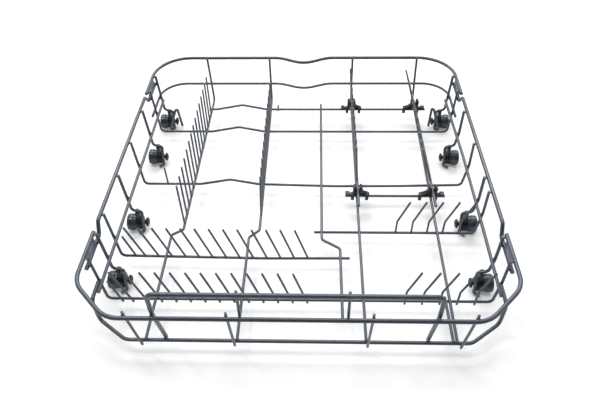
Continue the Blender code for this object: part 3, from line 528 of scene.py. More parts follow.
def lay_long_wires():
    """The floor's long wires, four of which climb the rear wall, with their rows of tines."""
    front_y = FRONT_RAIL_Y - LONG_END_AHEAD
    for number, spec in LONG_WIRES.items():
        xs = spec["xs"]
        points = [(xs[0], rear_y(WALL_TOP), WALL_TOP), (xs[1], rear_y(LONG_HEIGHT), LONG_HEIGHT)]
        end_x = xs[2]
        if "jog" in spec:
            end_x += spec["jog"][0]
            points += [
                ((xs[2], JOG_Y, LONG_HEIGHT), JOG_RADIUS),
                ((end_x, JOG_Y - spec["jog"][1], LONG_HEIGHT), JOG_RADIUS),
            ]
        wire(f"long_wire_{number}", points + [(end_x, front_y, LONG_HEIGHT)], FLOOR_WIRE, LONG_CORNER_RADIUS)
        if "tines" in spec:
            first, count = spec["tines"]
            drift = (xs[2] - xs[1]) / (rear_y(LONG_HEIGHT) - JOG_Y)
            y = REAR_TINE_Y - TINE_PITCH * first
            x = xs[1] + drift * (rear_y(LONG_HEIGHT) - y)
            points = [(x, y, LONG_HEIGHT), (x + spec["lean"], y, LONG_TINE_TOP)]
            step = (drift * TINE_PITCH, -TINE_PITCH, 0)
            wire(f"long_wire_{number}", points, TINE_WIRE, count=count, step=step)
    shifted = LONG_3_X + LONG_3_JOG[0]
    free = [
        (LONG_3_X, LONG_3_YS[0], LONG_HEIGHT),
        (LONG_3_X, LONG_3_YS[1], LONG_HEIGHT),
        (shifted, LONG_3_YS[1] - LONG_3_JOG[1], LONG_HEIGHT),
        (shifted, LONG_3_YS[2], LONG_HEIGHT),
    ]
    wire("long_wire_3", free, FLOOR_WIRE, JOG_RADIUS)
    ends = (CROSS_E_Y + FLOOR_WIRE, front_y)
    wire("long_wire_6", [(LONG_6_X, y, LONG_HEIGHT) for y in ends], FLOOR_WIRE)


def lay_wheel_posts():
    """The bent wires that hang from the rim and carry the rollers' holders. The rear two end in a hook."""
    for side, word in SIDES:
        inner = side * POST_X
        for number, y in enumerate(WHEEL_Y, 1):
            points = [
                (side * wall_x(WALL_TOP), y, WALL_TOP),
                mid_point(side, y),
                ((side * wall_x(POST_BEND_HEIGHT), y, POST_BEND_HEIGHT), POST_BEND_RADIUS),
                ((inner, y, POST_OVER_HEIGHT), POST_OVER_RADIUS),
                ((inner, y - POST_AHEAD, POST_NECK_HEIGHT), POST_OVER_RADIUS),
                (inner, y - FOOT_START_AHEAD, FOOT_HEIGHT),
                (inner + side * FOOT_END_OUTWARD, y - FOOT_END_AHEAD, FOOT_HEIGHT),
            ]
            if number == 1:
                hook = (HOOK_PEAK[word], HOOK_END[word])
                top, end = ((inner - side * inward, y + shift, z) for inward, shift, z in hook)
                points += [(top, HOOK_RADIUS), end]
            wire(f"wheel_post_{word}_{number}", points, POST_WIRE, FOOT_RADIUS)


def lay_folding_rows():
    """The two rods that turn in the clips, with their leaning tines."""
    for number, (x, tilt) in enumerate(zip(ROD_X, FOLD_TINE_TILT), 1):
        node = f"folding_row_{number}"
        wire(node, [(x, y, ROD_HEIGHT) for y in ROD_ENDS], ROD_WIRE)
        top_x = x - FOLD_TINE_LENGTH * math.sin(tilt)
        top_z = ROD_HEIGHT + FOLD_TINE_LENGTH * math.cos(tilt)
        tine = [(x, FOLD_TINE_REAR_Y, ROD_HEIGHT), (top_x, FOLD_TINE_REAR_Y, top_z)]
        wire(node, tine, TINE_WIRE, count=FOLD_TINES, step=(0, -TINE_PITCH, 0))


# Node trees
def new_tree(name, kind, inputs, outputs):
    """An empty node tree with its inputs and outputs, each as (label, type, value)."""
    tree = bpy.data.node_groups.new(name, kind)
    for in_out, sockets in (("INPUT", inputs), ("OUTPUT", outputs)):
        for label, socket, value in sockets:
            made = tree.interface.new_socket(name=label, in_out=in_out, socket_type=f"NodeSocket{socket}")
            if value is not None:
                made.default_value = value
    return tree


def set_inputs(node, values):
    """Gives a node's inputs their values, by name or number."""
    for label, value in values.items():
        node.inputs[label].default_value = value


def add(tree, kind, values=None, **settings):
    """A new node with its settings, and with values for its inputs by their name or number."""
    node = tree.nodes.new(kind)
    for key, value in settings.items():
        setattr(node, key, value)
    set_inputs(node, values or {})
    return node


def link_all(tree, *pairs):
    """Links each (node, output, node, input), where a socket is given by its name or number."""
    for source, output, target, socket in pairs:
        tree.links.new(source.outputs[output], target.inputs[socket])


def shape_tree(name, *inputs):
    """A Geometry Nodes tree that takes a mesh, its named inputs and a finish, with its first and last node."""
    mesh, finish = ("Geometry", "Geometry", None), ("Finish", "Material", None)
    tree = new_tree(name, "GeometryNodeTree", [mesh, *inputs, finish], [mesh])
    return tree, add(tree, "NodeGroupInput"), add(tree, "NodeGroupOutput")


def make_real(tree, given, result, source, socket):
    """Ends a tree: the instances become geometry of their own, in the given finish."""
    realise = add(tree, "GeometryNodeRealizeInstances")
    finish = add(tree, "GeometryNodeSetMaterial")
    link_all(
        tree,
        (source, socket, realise, "Geometry"),
        (realise, "Geometry", finish, "Geometry"),
        (given, "Finish", finish, "Material"),
        (finish, "Geometry", result, "Geometry"),
    )
    return tree


def coated_wire_tree():
    """A wire swept along the object's edges, repeated by a step: tines in a row are one tine and a count."""
    tree, given, result = shape_tree(
        "coated wire",
        ("Diameter", "Float", FLOOR_WIRE), ("Sides", "Int", WIRE_SIDES), ("Count", "Int", 1),
        ("Step", "Vector", (0, 0, 0)),
    )
    to_curve = add(tree, "GeometryNodeMeshToCurve")
    taper = add(tree, "GeometryNodeInputNamedAttribute", {"Name": "taper"}, data_type="FLOAT")
    radius = add(tree, "GeometryNodeSetCurveRadius")
    half = add(tree, "ShaderNodeMath", {1: 2}, operation="DIVIDE")
    section = add(tree, "GeometryNodeCurvePrimitiveCircle", mode="RADIUS")
    sweep = add(tree, "GeometryNodeCurveToMesh", {"Fill Caps": True})
    places = add(tree, "GeometryNodeMeshLine", mode="OFFSET")
    repeat = add(tree, "GeometryNodeInstanceOnPoints")
    smooth = add(tree, "GeometryNodeSetShadeSmooth")
    link_all(
        tree,
        (given, "Geometry", to_curve, "Mesh"),
        (to_curve, "Curve", radius, "Curve"),
        (taper, "Attribute", radius, "Radius"),
        (given, "Diameter", half, 0),
        (given, "Sides", section, "Resolution"),
        (half, 0, section, "Radius"),
        (radius, "Curve", sweep, "Curve"),
        (section, "Curve", sweep, "Profile Curve"),
        (given, "Count", places, "Count"),
        (given, "Step", places, "Offset"),
        (places, "Mesh", repeat, "Points"),
        (sweep, "Mesh", repeat, "Instance"),
        (repeat, "Instances", smooth, "Geometry"),
    )
    return make_real(tree, given, result, smooth, "Geometry")


def weld_collar_tree():
    """A flattened bead at each point, across its facing and as wide as its reach."""
    tree, given, result = shape_tree(
        "weld collar",
        ("Flatness", "Float", 0.7), ("Segments", "Int", 10), ("Rings", "Int", 6),
        ("Unevenness", "Float", 0.1), ("Seed", "Int", 7),
    )
    bead = add(tree, "GeometryNodeMeshUVSphere", {"Radius": 1.0})
    shape = add(tree, "ShaderNodeCombineXYZ", {"X": 1.0, "Y": 1.0})
    reach = add(tree, "GeometryNodeInputNamedAttribute", {"Name": "reach"}, data_type="FLOAT")
    facing = add(tree, "GeometryNodeInputNamedAttribute", {"Name": "facing"}, data_type="FLOAT_VECTOR")
    least = add(tree, "ShaderNodeMath", {0: 1.0}, operation="SUBTRACT")
    uneven = add(tree, "FunctionNodeRandomValue", data_type="FLOAT")
    size = add(tree, "ShaderNodeMath", operation="MULTIPLY")
    scale = add(tree, "ShaderNodeVectorMath", operation="SCALE")
    align = add(tree, "FunctionNodeAlignRotationToVector", axis="Z")
    repeat = add(tree, "GeometryNodeInstanceOnPoints")
    smooth = add(tree, "GeometryNodeSetShadeSmooth")
    link_all(
        tree,
        (given, "Segments", bead, "Segments"),
        (given, "Rings", bead, "Rings"),
        (given, "Flatness", shape, "Z"),
        (given, "Unevenness", least, 1),
        (least, 0, uneven, 2),
        (given, "Seed", uneven, "Seed"),
        (reach, "Attribute", size, 0),
        (uneven, 1, size, 1),
        (shape, 0, scale, 0),
        (size, 0, scale, "Scale"),
        (facing, "Attribute", align, "Vector"),
        (given, "Geometry", repeat, "Points"),
        (bead, "Mesh", repeat, "Instance"),
        (align, "Rotation", repeat, "Rotation"),
        (scale, "Vector", repeat, "Scale"),
        (repeat, "Instances", smooth, "Geometry"),
    )
    return make_real(tree, given, result, smooth, "Geometry")


def ring_tree():
    """Copies of the object's mesh turned round the X axis, such as the ribs of a roller."""
    tree, given, result = shape_tree("ribs round an axle", ("Count", "Int", ROLLER_RIBS))
    places = add(tree, "GeometryNodeMeshLine", {"Offset": (0, 0, 0)}, mode="OFFSET")
    number = add(tree, "GeometryNodeInputIndex")
    share = add(tree, "ShaderNodeMath", operation="DIVIDE")
    turn = add(tree, "ShaderNodeMath", {1: 2 * math.pi}, operation="MULTIPLY")
    angles = add(tree, "ShaderNodeCombineXYZ")
    rotation = add(tree, "FunctionNodeEulerToRotation")
    repeat = add(tree, "GeometryNodeInstanceOnPoints")
    link_all(
        tree,
        (given, "Count", places, "Count"),
        (number, "Index", share, 0),
        (given, "Count", share, 1),
        (share, 0, turn, 0),
        (turn, 0, angles, "X"),
        (angles, 0, rotation, "Euler"),
        (places, "Mesh", repeat, "Points"),
        (given, "Geometry", repeat, "Instance"),
        (rotation, "Rotation", repeat, "Rotation"),
    )
    return make_real(tree, given, result, repeat, "Instances")


def into_scene(name, data):
    """A new object of the scene with this mesh, light or camera."""
    made = bpy.data.objects.new(name, data)
    bpy.context.scene.collection.objects.link(made)
    return made


def settled(carrier):
    """The carrier's mesh after its modifier, as a plain mesh. The carrier is removed."""
    graph = bpy.context.evaluated_depsgraph_get()
    made = bpy.data.meshes.new_from_object(carrier.evaluated_get(graph))
    bpy.data.objects.remove(carrier)
    return made


def plain_mesh(shape, name):
    """The bmesh as a mesh. The bmesh is freed."""
    mesh = bpy.data.meshes.new(name)
    shape.to_mesh(mesh)
    shape.free()
    return mesh


def grown(mesh, tree, **inputs):
    """The mesh after a Geometry Nodes tree with its named inputs, as a plain mesh."""
    carrier = into_scene("carrier", mesh)
    modifier = carrier.modifiers.new("shape", "NODES")
    modifier.node_group = tree
    sockets = {item.name: item.identifier for item in tree.interface.items_tree if item.in_out == "INPUT"}
    for label, value in inputs.items():
        modifier[sockets[label.capitalize()]] = value
    return settled(carrier)


def joined(meshes, name):
    """Several meshes as one, with the first one's material."""
    shape = bmesh.new()
    for mesh in meshes:
        shape.from_mesh(mesh)
    whole = plain_mesh(shape, name)
    whole.materials.append(meshes[0].materials[0])
    for mesh in meshes:
        bpy.data.meshes.remove(mesh)
    return whole


def add_piece(name, mesh, body, slot, *nodes):
    """A finished piece that rides on a body and stands for its nodes. Its slot is not used."""
    mesh.name = name
    piece = into_scene(name, mesh)
    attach(piece, body)
    if nodes:
        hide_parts(*nodes)


# Wires
def domed_path_mesh(path, diameter):
    """A path as edges, with its ends drawn out into domes: the taper is the share of the full thickness."""
    reach = diameter / 2
    angles = [DOME_ANGLE * (1 - step / DOME_STEPS) for step in range(DOME_STEPS + 1)]

    def dome(end, inner):
        inward = (inner - end).normalized()
        return [(end + inward * reach * (1 - math.sin(angle)), math.cos(angle)) for angle in angles]

    run = dome(path[0], path[1]) + [(place, 1.0) for place in path[1:-1]] + dome(path[-1], path[-2])[::-1]
    mesh = bpy.data.meshes.new("path")
    mesh.from_pydata([place for place, _ in run], [(i, i + 1) for i in range(len(run) - 1)], [])
    taper = mesh.attributes.new("taper", "FLOAT", "POINT")
    taper.data.foreach_set("value", [share for _, share in run])
    return mesh


def wire_piece(node, body, material, sweep):
    """All wires of a node as one piece."""
    parts = []
    for path, diameter, count, step in routes[node]:
        sides = WIRE_SIDES if diameter > STAY_WIRE else TINE_SIDES
        settings = {"diameter": diameter, "sides": sides, "count": count, "step": step, "finish": material}
        parts.append(grown(domed_path_mesh(path, diameter), sweep, **settings))
    add_piece(f"coated_{node}", joined(parts, node), body, "coated_wire", node)


def runs_of(node):
    """Every wire of a node as (points, radius, is_tine), with the repeats written out."""
    for path, diameter, count, step in routes[node]:
        points = np.array([tuple(p) for p in path])
        for number in range(count):
            yield points + np.array(step) * number, diameter / 2, diameter == TINE_WIRE


def nearest(one, other):
    """Closest points of two polylines, as (distance, point on one, point on the other)."""
    best = (math.inf, None, None)
    a, b = one[:-1], one[1:]
    for c, d in zip(other[:-1], other[1:]):
        u, v, w = b - a, d - c, a - c
        uu, uv, vv = (u * u).sum(1), u @ v, v @ v
        uw, vw = (u * w).sum(1), w @ v
        det = uu * vv - uv * uv
        flat = det < PARALLEL
        s = np.where(flat, 0.5, (uv * vw - vv * uw) / np.where(flat, 1, det)).clip(0, 1)
        t = ((uv * s + vw) / vv).clip(0, 1)
        s = ((uv * t - uw) / uu).clip(0, 1)
        p, q = a + u * s[:, None], c + v * t[:, None]
        gaps = np.linalg.norm(p - q, axis=1)
        k = int(gaps.argmin())
        if gaps[k] < best[0]:
            best = (gaps[k], p[k], q[k])
    return best


def weld_points(nodes):
    """Where two fixed wires meet, as (place, facing, reach): crossings, and the feet of the tines."""
    runs = [(node, *run) for node in nodes for run in runs_of(node)]
    lows = [path.min(0) - radius for _, path, radius, _ in runs]
    highs = [path.max(0) + radius + WELD_BOX_MARGIN for _, path, radius, _ in runs]
    found = []
    for i, (node_i, path_i, radius_i, tine_i) in enumerate(runs):
        for j in range(i + 1, len(runs)):
            node_j, path_j, radius_j, tine_j = runs[j]
            if tine_i and tine_j:
                continue
            if (lows[i] > highs[j]).any() or (lows[j] > highs[i]).any():
                continue
            distance, p, q = nearest(path_i, path_j)
            if distance > radius_i + radius_j + WELD_REACH:
                continue
            if distance > WELD_OVERLAP * (radius_i + radius_j):
                facing = (q - p) / distance
                slack = distance - radius_i - radius_j
                place = p + facing * (radius_i + slack / 2)
                found.append((place, facing, COLLAR_REACH * min(radius_i, radius_j)))
            elif node_i == node_j and (tine_i or tine_j):
                tine, carrier = (path_i, radius_j) if tine_i else (path_j, radius_i)
                facing = (tine[1] - tine[0]) / np.linalg.norm(tine[1] - tine[0])
                place = tine[0] + facing * carrier * TINE_COLLAR_RISE
                found.append((place, facing, TINE_COLLAR_REACH * TINE_WIRE / 2))
    return found


def add_welds(name, body, nodes, material, collar):
    """One piece with a collar at every weld of the nodes."""
    found = weld_points(nodes)
    mesh = bpy.data.meshes.new("welds")
    mesh.from_pydata([tuple(place) for place, _, _ in found], [], [])
    facing = mesh.attributes.new("facing", "FLOAT_VECTOR", "POINT")
    facing.data.foreach_set("vector", [value for _, way, _ in found for value in way])
    reach = mesh.attributes.new("reach", "FLOAT", "POINT")
    reach.data.foreach_set("value", [size for _, _, size in found])
    add_piece(name, grown(mesh, collar, finish=material, **COLLAR_SHAPE), body, "coated_wire")


# Moulded and turned pieces
def solid_from(shape, material, bevel=0.0):
    """A bmesh made into a mesh with the material, its edges rounded and its faces shaded by angle."""
    bmesh.ops.remove_doubles(shape, verts=shape.verts, dist=MERGE_DISTANCE)
    bmesh.ops.recalc_face_normals(shape, faces=shape.faces)
    mesh = plain_mesh(shape, "solid")
    mesh.materials.append(material)
    if bevel:
        carrier = into_scene("carrier", mesh)
        rounding = carrier.modifiers.new("rounding", "BEVEL")
        rounding.width, rounding.segments, rounding.limit_method = bevel, EDGE_SEGMENTS, "ANGLE"
        rounding.angle_limit = EDGE_ANGLE
        mesh = settled(carrier)
    mesh.shade_smooth()
    mesh.set_sharp_from_angle(angle=SMOOTH_ANGLE)
    return mesh


def turned(profile, material):
    """A solid turned round the X axis from (x, radius) points; it closes on itself or on the axis."""
    sides = TURNED_SIDES
    shape = bmesh.new()
    rings = []
    for x, radius in profile:
        if radius == 0:
            rings.append([shape.verts.new((x, 0, 0))])
            continue
        angles = [2 * math.pi * k / sides for k in range(sides)]
        rings.append([shape.verts.new((x, radius * math.cos(a), radius * math.sin(a))) for a in angles])
    following = rings[1:] + (rings[:1] if profile[0][1] > 0 else [])
    for one, other in zip(rings, following):
        for k in range(sides):
            near, far = k % len(one), (k + 1) % len(one)
            ring = [one[near], one[far], other[(k + 1) % len(other)], other[k % len(other)]]
            shape.faces.new(list(dict.fromkeys(ring)))
    return solid_from(shape, material)


def extruded(outline, low, high, plane, material, bevel):
    """An outline of two coordinates extruded along the third: plane "yz" along X, "xz" along Y."""
    order = {"yz": lambda a, b, c: (c, a, b), "xz": lambda a, b, c: (a, c, b)}[plane]
    shape = bmesh.new()
    face = shape.faces.new([shape.verts.new(order(a, b, low)) for a, b in outline])
    raised = bmesh.ops.extrude_face_region(shape, geom=[face])
    corners = [item for item in raised["geom"] if isinstance(item, bmesh.types.BMVert)]
    bmesh.ops.translate(shape, verts=corners, vec=order(0, 0, high - low))
    return solid_from(shape, material, bevel)


def moved(mesh, place, flip=False):
    """The mesh mirrored in X if flip is set, then moved to its place."""
    if flip:
        mesh.transform(Matrix.Diagonal((-1, 1, 1, 1)))
        mesh.flip_normals()
    mesh.transform(Matrix.Translation(place))
    return mesh


def in_metres(points, first=0.0, second=0.0):
    """Points given in millimetres from a start in metres."""
    return [(first + a * MM, second + b * MM) for a, b in points]


def rib_mesh(half, radii, low, high, edge, material):
    """One upright rib along an axle, from its half width, the radii of its foot and crest, and its ends."""
    foot, crest = radii
    outline = in_metres([(-half, foot), (half, foot), (half, crest), (-half, crest)])
    return extruded(outline, low, high, "yz", material, edge * MM)


def roller_mesh(material, ribs):
    """The roller, with x = 0 at its inner end: a grooved narrow band, the wider tread and a ribbed recess."""
    profile = [
        (0.0, 3.8), (0.0, 10.8), (0.35, 11.4), (0.9, 11.75), (1.9, 11.8), (2.2, 11.35), (2.7, 11.35),
        (3.0, 11.8), (4.2, 11.8), (4.9, 12.0), (5.5, 12.6), (6.2, 12.95), (7.0, 13.0), (8.9, 13.0),
        (9.2, 12.55), (9.8, 12.55), (10.1, 13.0), (12.2, 13.0), (13.3, 12.85), (14.1, 12.4), (14.6, 11.7),
        (14.8, 11.0), (14.8, 9.9), (14.55, 9.5), (11.4, 9.2), (11.1, 8.9), (11.1, 6.3), (11.4, 6.0),
        (13.2, 5.9), (13.4, 5.7), (13.4, 4.1), (13.2, 3.8),
    ]
    body = turned(in_metres(profile), material)
    rib = rib_mesh(0.7, (5.4, 9.6), 10.8 * MM, 12.8 * MM, 0.25, material)
    return joined([body, grown(rib, ribs, count=ROLLER_RIBS, finish=material)], "roller")


def holder_mesh(material, ribs):
    """The holder of a roller at the right side, round the axle's own y = z = 0.

    It is a ribbed disc with a saddle under the post, a neck, a cap and the axle.
    """
    disc = HOLDER_INNER_X
    profile = [
        (0.0, 3.2), (0.0, 9.4), (0.3, 9.9), (0.8, 10.25), (1.3, 10.3), (1.6, 10.9), (2.1, 11.0), (3.0, 11.0),
        (3.4, 10.5), (4.1, 10.5), (4.5, 11.0), (6.3, 11.0), (6.9, 10.7), (7.2, 10.1), (7.35, 9.2), (7.35, 3.2),
    ]
    rib = rib_mesh(0.45, (9.2, 10.85), disc + 0.15 * MM, disc + 1.7 * MM, 0.15, material)
    ring = grown(rib, ribs, count=HOLDER_RIBS, finish=material)

    outline = [
        (-5.4, 7.0), (5.4, 7.0), (5.0, 19.0), (4.7, 24.6), (3.7, 25.6), (2.75, 25.0), (2.65, 24.0), (1.9, 22.2),
        (0, 21.4), (-1.9, 22.2), (-2.65, 24.0), (-2.9, 24.6), (-3.7, 24.9), (-4.7, 23.6), (-5.0, 19.0),
    ]
    front, back = disc + 1.9 * MM, disc + 7.0 * MM
    saddle = extruded(in_metres(outline), front, back, "yz", material, 0.4 * MM)
    post_slope = (POST_BEND_HEIGHT - POST_OVER_HEIGHT) / POST_INWARD
    for vertex in saddle.vertices:
        if vertex.co.z > 15 * MM:
            vertex.co.z += post_slope * (vertex.co.x - back)

    cap = [
        (1.1, 0), (1.1, 2.7), (0.9, 3.1), (0, 3.4), (0, 4.9), (0.15, 5.5), (0.7, 6.3), (1.4, 6.85), (2.1, 7.0),
        (3.1, 7.0), (3.5, 6.7), (3.6, 6.2), (3.6, 3.4),
    ]
    nose = [(13.6, 3.4), (13.7, 4.4), (14.1, 4.5), (14.7, 3.6), (14.7, 1.6), (13.7, 1.4), (13.7, 0)]
    axle = turned(in_metres(cap, CAP_OUTER_X - CAP_LENGTH) + in_metres(nose, WHEEL_INNER_X), material)
    return joined([turned(in_metres(profile, disc), material), ring, saddle, axle], "holder")


def sunk_block(low, high, depth, material):
    """A block with a shallow pocket in its top."""
    low, high = Vector(low), Vector(high)
    shape = bmesh.new()
    place = Matrix.Translation((low + high) / 2) @ Matrix.Diagonal((*(high - low), 1))
    bmesh.ops.create_cube(shape, size=1.0, matrix=place)
    shape.faces.ensure_lookup_table()
    top = max(shape.faces, key=lambda face: face.calc_center_median().z)
    bmesh.ops.inset_region(shape, faces=[top], thickness=1.1 * MM)
    bmesh.ops.translate(shape, verts=top.verts, vec=(0, 0, -depth))
    return solid_from(shape, material, 0.25 * MM)


def clip_mesh(feet, long_side, material):
    """A rod clip round the rod's own axis: ears, a braced long arm, a blunt arm and two hooked feet.

    Its outlines are in millimetres. After each come half its depth, its rounded edge and its side.
    """
    low = -10.4
    block = [(-6.2, -6.3), (6.2, -6.3), (6.2, -3.2), (5.6, -2.65), (-5.6, -2.65), (-6.2, -3.2)]
    ear = [
        (2.6, -3.4), (6.8, -3.4), (7.1, 0.5), (7.5, 3.4), (7.4, 6.2), (6.6, 7.9), (5.2, 8.8), (3.6, 8.5),
        (2.7, 7.0), (2.45, 5.0), (2.65, 2.0),
    ]
    skirt = [(2.9, low), (6.9, low), (7.1, -3.2), (2.9, -3.2)]
    web = [(6.2, low), (17.4, low), (17.4, -8.3), (6.2, -1.2)]
    brace = [
        (6.4, 1.8), (8.0, -1.6), (10.8, -4.6), (17.6, -7.2), (18.9, -8.4), (18.9, -9.3), (10.2, -6.4),
        (7.2, -3.4), (6.4, -0.8),
    ]
    sole = [(6.2, low), (18.2, low), (18.2, -8.9), (6.2, -8.8)]
    blunt_arm = [(-13.5, low), (-6.2, low), (-6.2, -4.6), (-8.5, -7.6), (-13.5, -8.0)]
    parts = []
    for points, depth, edge, side in (
        (block, 4.8, 0.45, 1),
        (ear, 4.8, 0.45, -1), (skirt, 4.8, 0.4, -1), (ear, 4.8, 0.45, 1), (skirt, 4.8, 0.4, 1),
        (web, 0.9, 0.2, long_side), (brace, 3.6, 0.3, long_side), (sole, 3.2, 0.3, long_side),
        (blunt_arm, 3.0, 0.3, long_side),
    ):
        outline = in_metres([(side * x, z) for x, z in points])[::side]
        parts.append(extruded(outline, -depth * MM, depth * MM, "xz", material, edge * MM))

    start, end = sorted((-19 * MM * long_side, -12.6 * MM * long_side))
    box_low, box_high = (start, -3.9 * MM, low * MM), (end, 3.9 * MM, low * MM + 4.2 * MM)
    parts.append(sunk_block(box_low, box_high, 1.1 * MM, material))

    wire_height = FLOOR_HEIGHT - ROD_HEIGHT
    inner = FLOOR_WIRE / 2 + 0.3 * MM
    hook = in_metres([
        (2.3, 6.8), (-4.4, 6.8), (-4.5, -4.4), (-4.0, -5.9), (-2.8, -6.8), (-0.6, -7.0), (1.0, -6.3),
        (1.9, -4.6),
    ], 0.0, wire_height)
    bends = [math.radians(315 - 15 * k) for k in range(14)]
    hook += [(inner * math.cos(a), wire_height + inner * math.sin(a)) for a in bends]
    hook += [(y * MM, wire_height + inner + 0.4 * MM) for y in (-0.2, 2.3)]
    for x in feet:
        parts.append(extruded(hook, x - 2.3 * MM, x + 2.3 * MM, "yz", material, 0.3 * MM))
    return joined(parts, "clip")


def rounded_box(y0, y1, z0, z1, corner):
    """Outline of an upright rectangle with round corners."""
    outline = []
    y0, y1, z0, z1 = y0 + corner, y1 - corner, z0 + corner, z1 - corner
    for quarter, (y, z) in enumerate(((y1, z1), (y0, z1), (y0, z0), (y1, z0))):
        for step in range(CORNER_STEPS + 1):
            angle = math.radians(90 * quarter + 90 / CORNER_STEPS * step)
            outline.append((y + corner * math.cos(angle), z + corner * math.sin(angle)))
    return outline


def plate_mesh(side, span, material):
    """A joint plate between the lapped rim wires: an upright strip with rounded corners and a pressed bead."""
    low = RIM_HEIGHT - LAP_DROP + RIM_WIRE / 2 + WELD_GAP
    high = RIM_HEIGHT - RIM_WIRE / 2 - WELD_GAP
    middle = (low + high) / 2
    inner = HALF_WIDTH - PLATE_THICKNESS
    strip = extruded(rounded_box(*span, low, high, PLATE_CORNER), inner, HALF_WIDTH, "yz", material, PLATE_EDGE)
    bead = rounded_box(
        span[0] + BEAD_INSET, span[1] - BEAD_INSET, middle - BEAD_RISE, middle + BEAD_RISE, BEAD_CORNER)
    ridge = extruded(bead, inner - BEAD_PROUD, inner + BEAD_PROUD, "yz", material, BEAD_EDGE)
    return moved(joined([strip, ridge], "plate"), (0, 0, 0), side < 0)


# Finishes
def surface_tree():
    """Colour, roughness and height of a moulded or coated surface: faint mottling over a fine grain."""
    tree = new_tree(
        "plastic surface",
        "ShaderNodeTree",
        [
            ("Colour", "Color", (0.2, 0.2, 0.2, 1)), ("Worn colour", "Color", (0.3, 0.3, 0.3, 1)),
            ("Mottle scale", "Float", 60.0), ("Grain scale", "Float", 900.0), ("Wear", "Float", 0.2),
            ("Roughness", "Float", 0.4), ("Roughness range", "Float", 0.12),
        ],
        [("Colour", "Color", None), ("Roughness", "Float", None), ("Height", "Float", None)],
    )
    given, result = add(tree, "NodeGroupInput"), add(tree, "NodeGroupOutput")
    place = add(tree, "ShaderNodeTexCoord")
    mottle = add(tree, "ShaderNodeTexNoise", {"Detail": 4})
    grain = add(tree, "ShaderNodeTexNoise", {"Detail": 3})
    worn = add(tree, "ShaderNodeMapRange", {"From Min": 0.42, "From Max": 0.72})
    amount = add(tree, "ShaderNodeMath", operation="MULTIPLY")
    colour = add(tree, "ShaderNodeMix", data_type="RGBA")
    spread = add(tree, "ShaderNodeMath", operation="MULTIPLY_ADD")
    centre = add(tree, "ShaderNodeMath", {1: 0.5}, operation="SUBTRACT")
    link_all(
        tree,
        (place, "Object", mottle, "Vector"),
        (place, "Object", grain, "Vector"),
        (given, "Mottle scale", mottle, "Scale"),
        (given, "Grain scale", grain, "Scale"),
        (mottle, "Fac", worn, "Value"),
        (worn, "Result", amount, 0),
        (given, "Wear", amount, 1),
        (amount, 0, colour, "Factor"),
        (given, "Colour", colour, "A"),
        (given, "Worn colour", colour, "B"),
        (mottle, "Fac", centre, 0),
        (centre, 0, spread, 0),
        (given, "Roughness range", spread, 1),
        (given, "Roughness", spread, 2),
        (colour, "Result", result, "Colour"),
        (spread, 0, result, "Roughness"),
        (grain, "Fac", result, "Height"),
    )
    return tree


def finish_material(name, surface, values, relief, coat):
    """A finish on the shared surface. Relief is a bump's strength and depth, coat a weight and a roughness."""
    material = bpy.data.materials.new(name)
    material.use_nodes = True
    tree = material.node_tree
    shader = tree.nodes["Principled BSDF"]
    group = add(tree, "ShaderNodeGroup", values, node_tree=surface)
    bump = add(tree, "ShaderNodeBump", {"Strength": relief[0], "Distance": relief[1]})
    set_inputs(shader, {"Coat Weight": coat[0], "Coat Roughness": coat[1]})
    link_all(
        tree,
        (group, "Colour", shader, "Base Color"),
        (group, "Roughness", shader, "Roughness"),
        (group, "Height", bump, "Height"),
        (bump, "Normal", shader, "Normal"),
    )
    return material


def make_finishes():
    """The finishes of the wires, the joint plates, the rollers and the black holders and clips."""
    surface = surface_tree()
    coated = finish_material(
        "grey wire coating", surface,
        {"Colour": (0.047, 0.065, 0.091, 1), "Worn colour": (0.083, 0.109, 0.143, 1), "Mottle scale": 45.0,
         "Grain scale": 520.0, "Wear": 0.5, "Roughness": 0.36, "Roughness range": 0.14},
        relief=(0.30, 0.00012), coat=(0.45, 0.18))
    plate = finish_material(
        "joint plate coating", surface,
        {"Colour": (0.205, 0.207, 0.280, 1), "Worn colour": (0.270, 0.272, 0.345, 1), "Mottle scale": 70.0,
         "Grain scale": 600.0, "Wear": 0.5, "Roughness": 0.46, "Roughness range": 0.14},
        relief=(0.30, 0.00010), coat=(0.15, 0.3))
    roller = finish_material(
        "roller plastic", surface,
        {"Colour": (0.028, 0.041, 0.060, 1), "Worn colour": (0.056, 0.075, 0.097, 1), "Mottle scale": 160.0,
         "Grain scale": 1500.0, "Wear": 0.55, "Roughness": 0.30, "Roughness range": 0.14},
        relief=(0.20, 0.00005), coat=(0.35, 0.10))
    black = finish_material(
        "black clip plastic", surface,
        {"Colour": (0.006, 0.007, 0.012, 1), "Worn colour": (0.014, 0.016, 0.025, 1), "Mottle scale": 140.0,
         "Grain scale": 1800.0, "Wear": 0.5, "Roughness": 0.34, "Roughness range": 0.16},
        relief=(0.25, 0.00005), coat=(0.0, 0.3))
    return coated, plate, roller, black


# Studio
def add_camera():
    """The photograph's camera, from its place, pitch, yaw and roll."""
    yaw, pitch, roll = CAMERA_YAW, CAMERA_PITCH, CAMERA_ROLL
    forward = Vector((math.sin(yaw) * math.cos(pitch), math.cos(yaw) * math.cos(pitch), -math.sin(pitch)))
    level = Vector((math.cos(yaw), -math.sin(yaw), 0))
    above = level.cross(forward)
    right = level * math.cos(roll) + above * math.sin(roll)
    up = above * math.cos(roll) - level * math.sin(roll)
    data = bpy.data.cameras.new("camera")
    data.sensor_width = SENSOR
    data.lens = CAMERA_FOCAL_PIXELS / FRAME_SIZE[0] * SENSOR
    data.clip_start, data.clip_end = CAMERA_CLIP
    camera = into_scene("camera", data)
    basis = Matrix((right, up, -forward)).transposed()
    camera.matrix_world = Matrix.Translation(CAMERA_PLACE) @ basis.to_4x4()
    bpy.context.scene.camera = camera


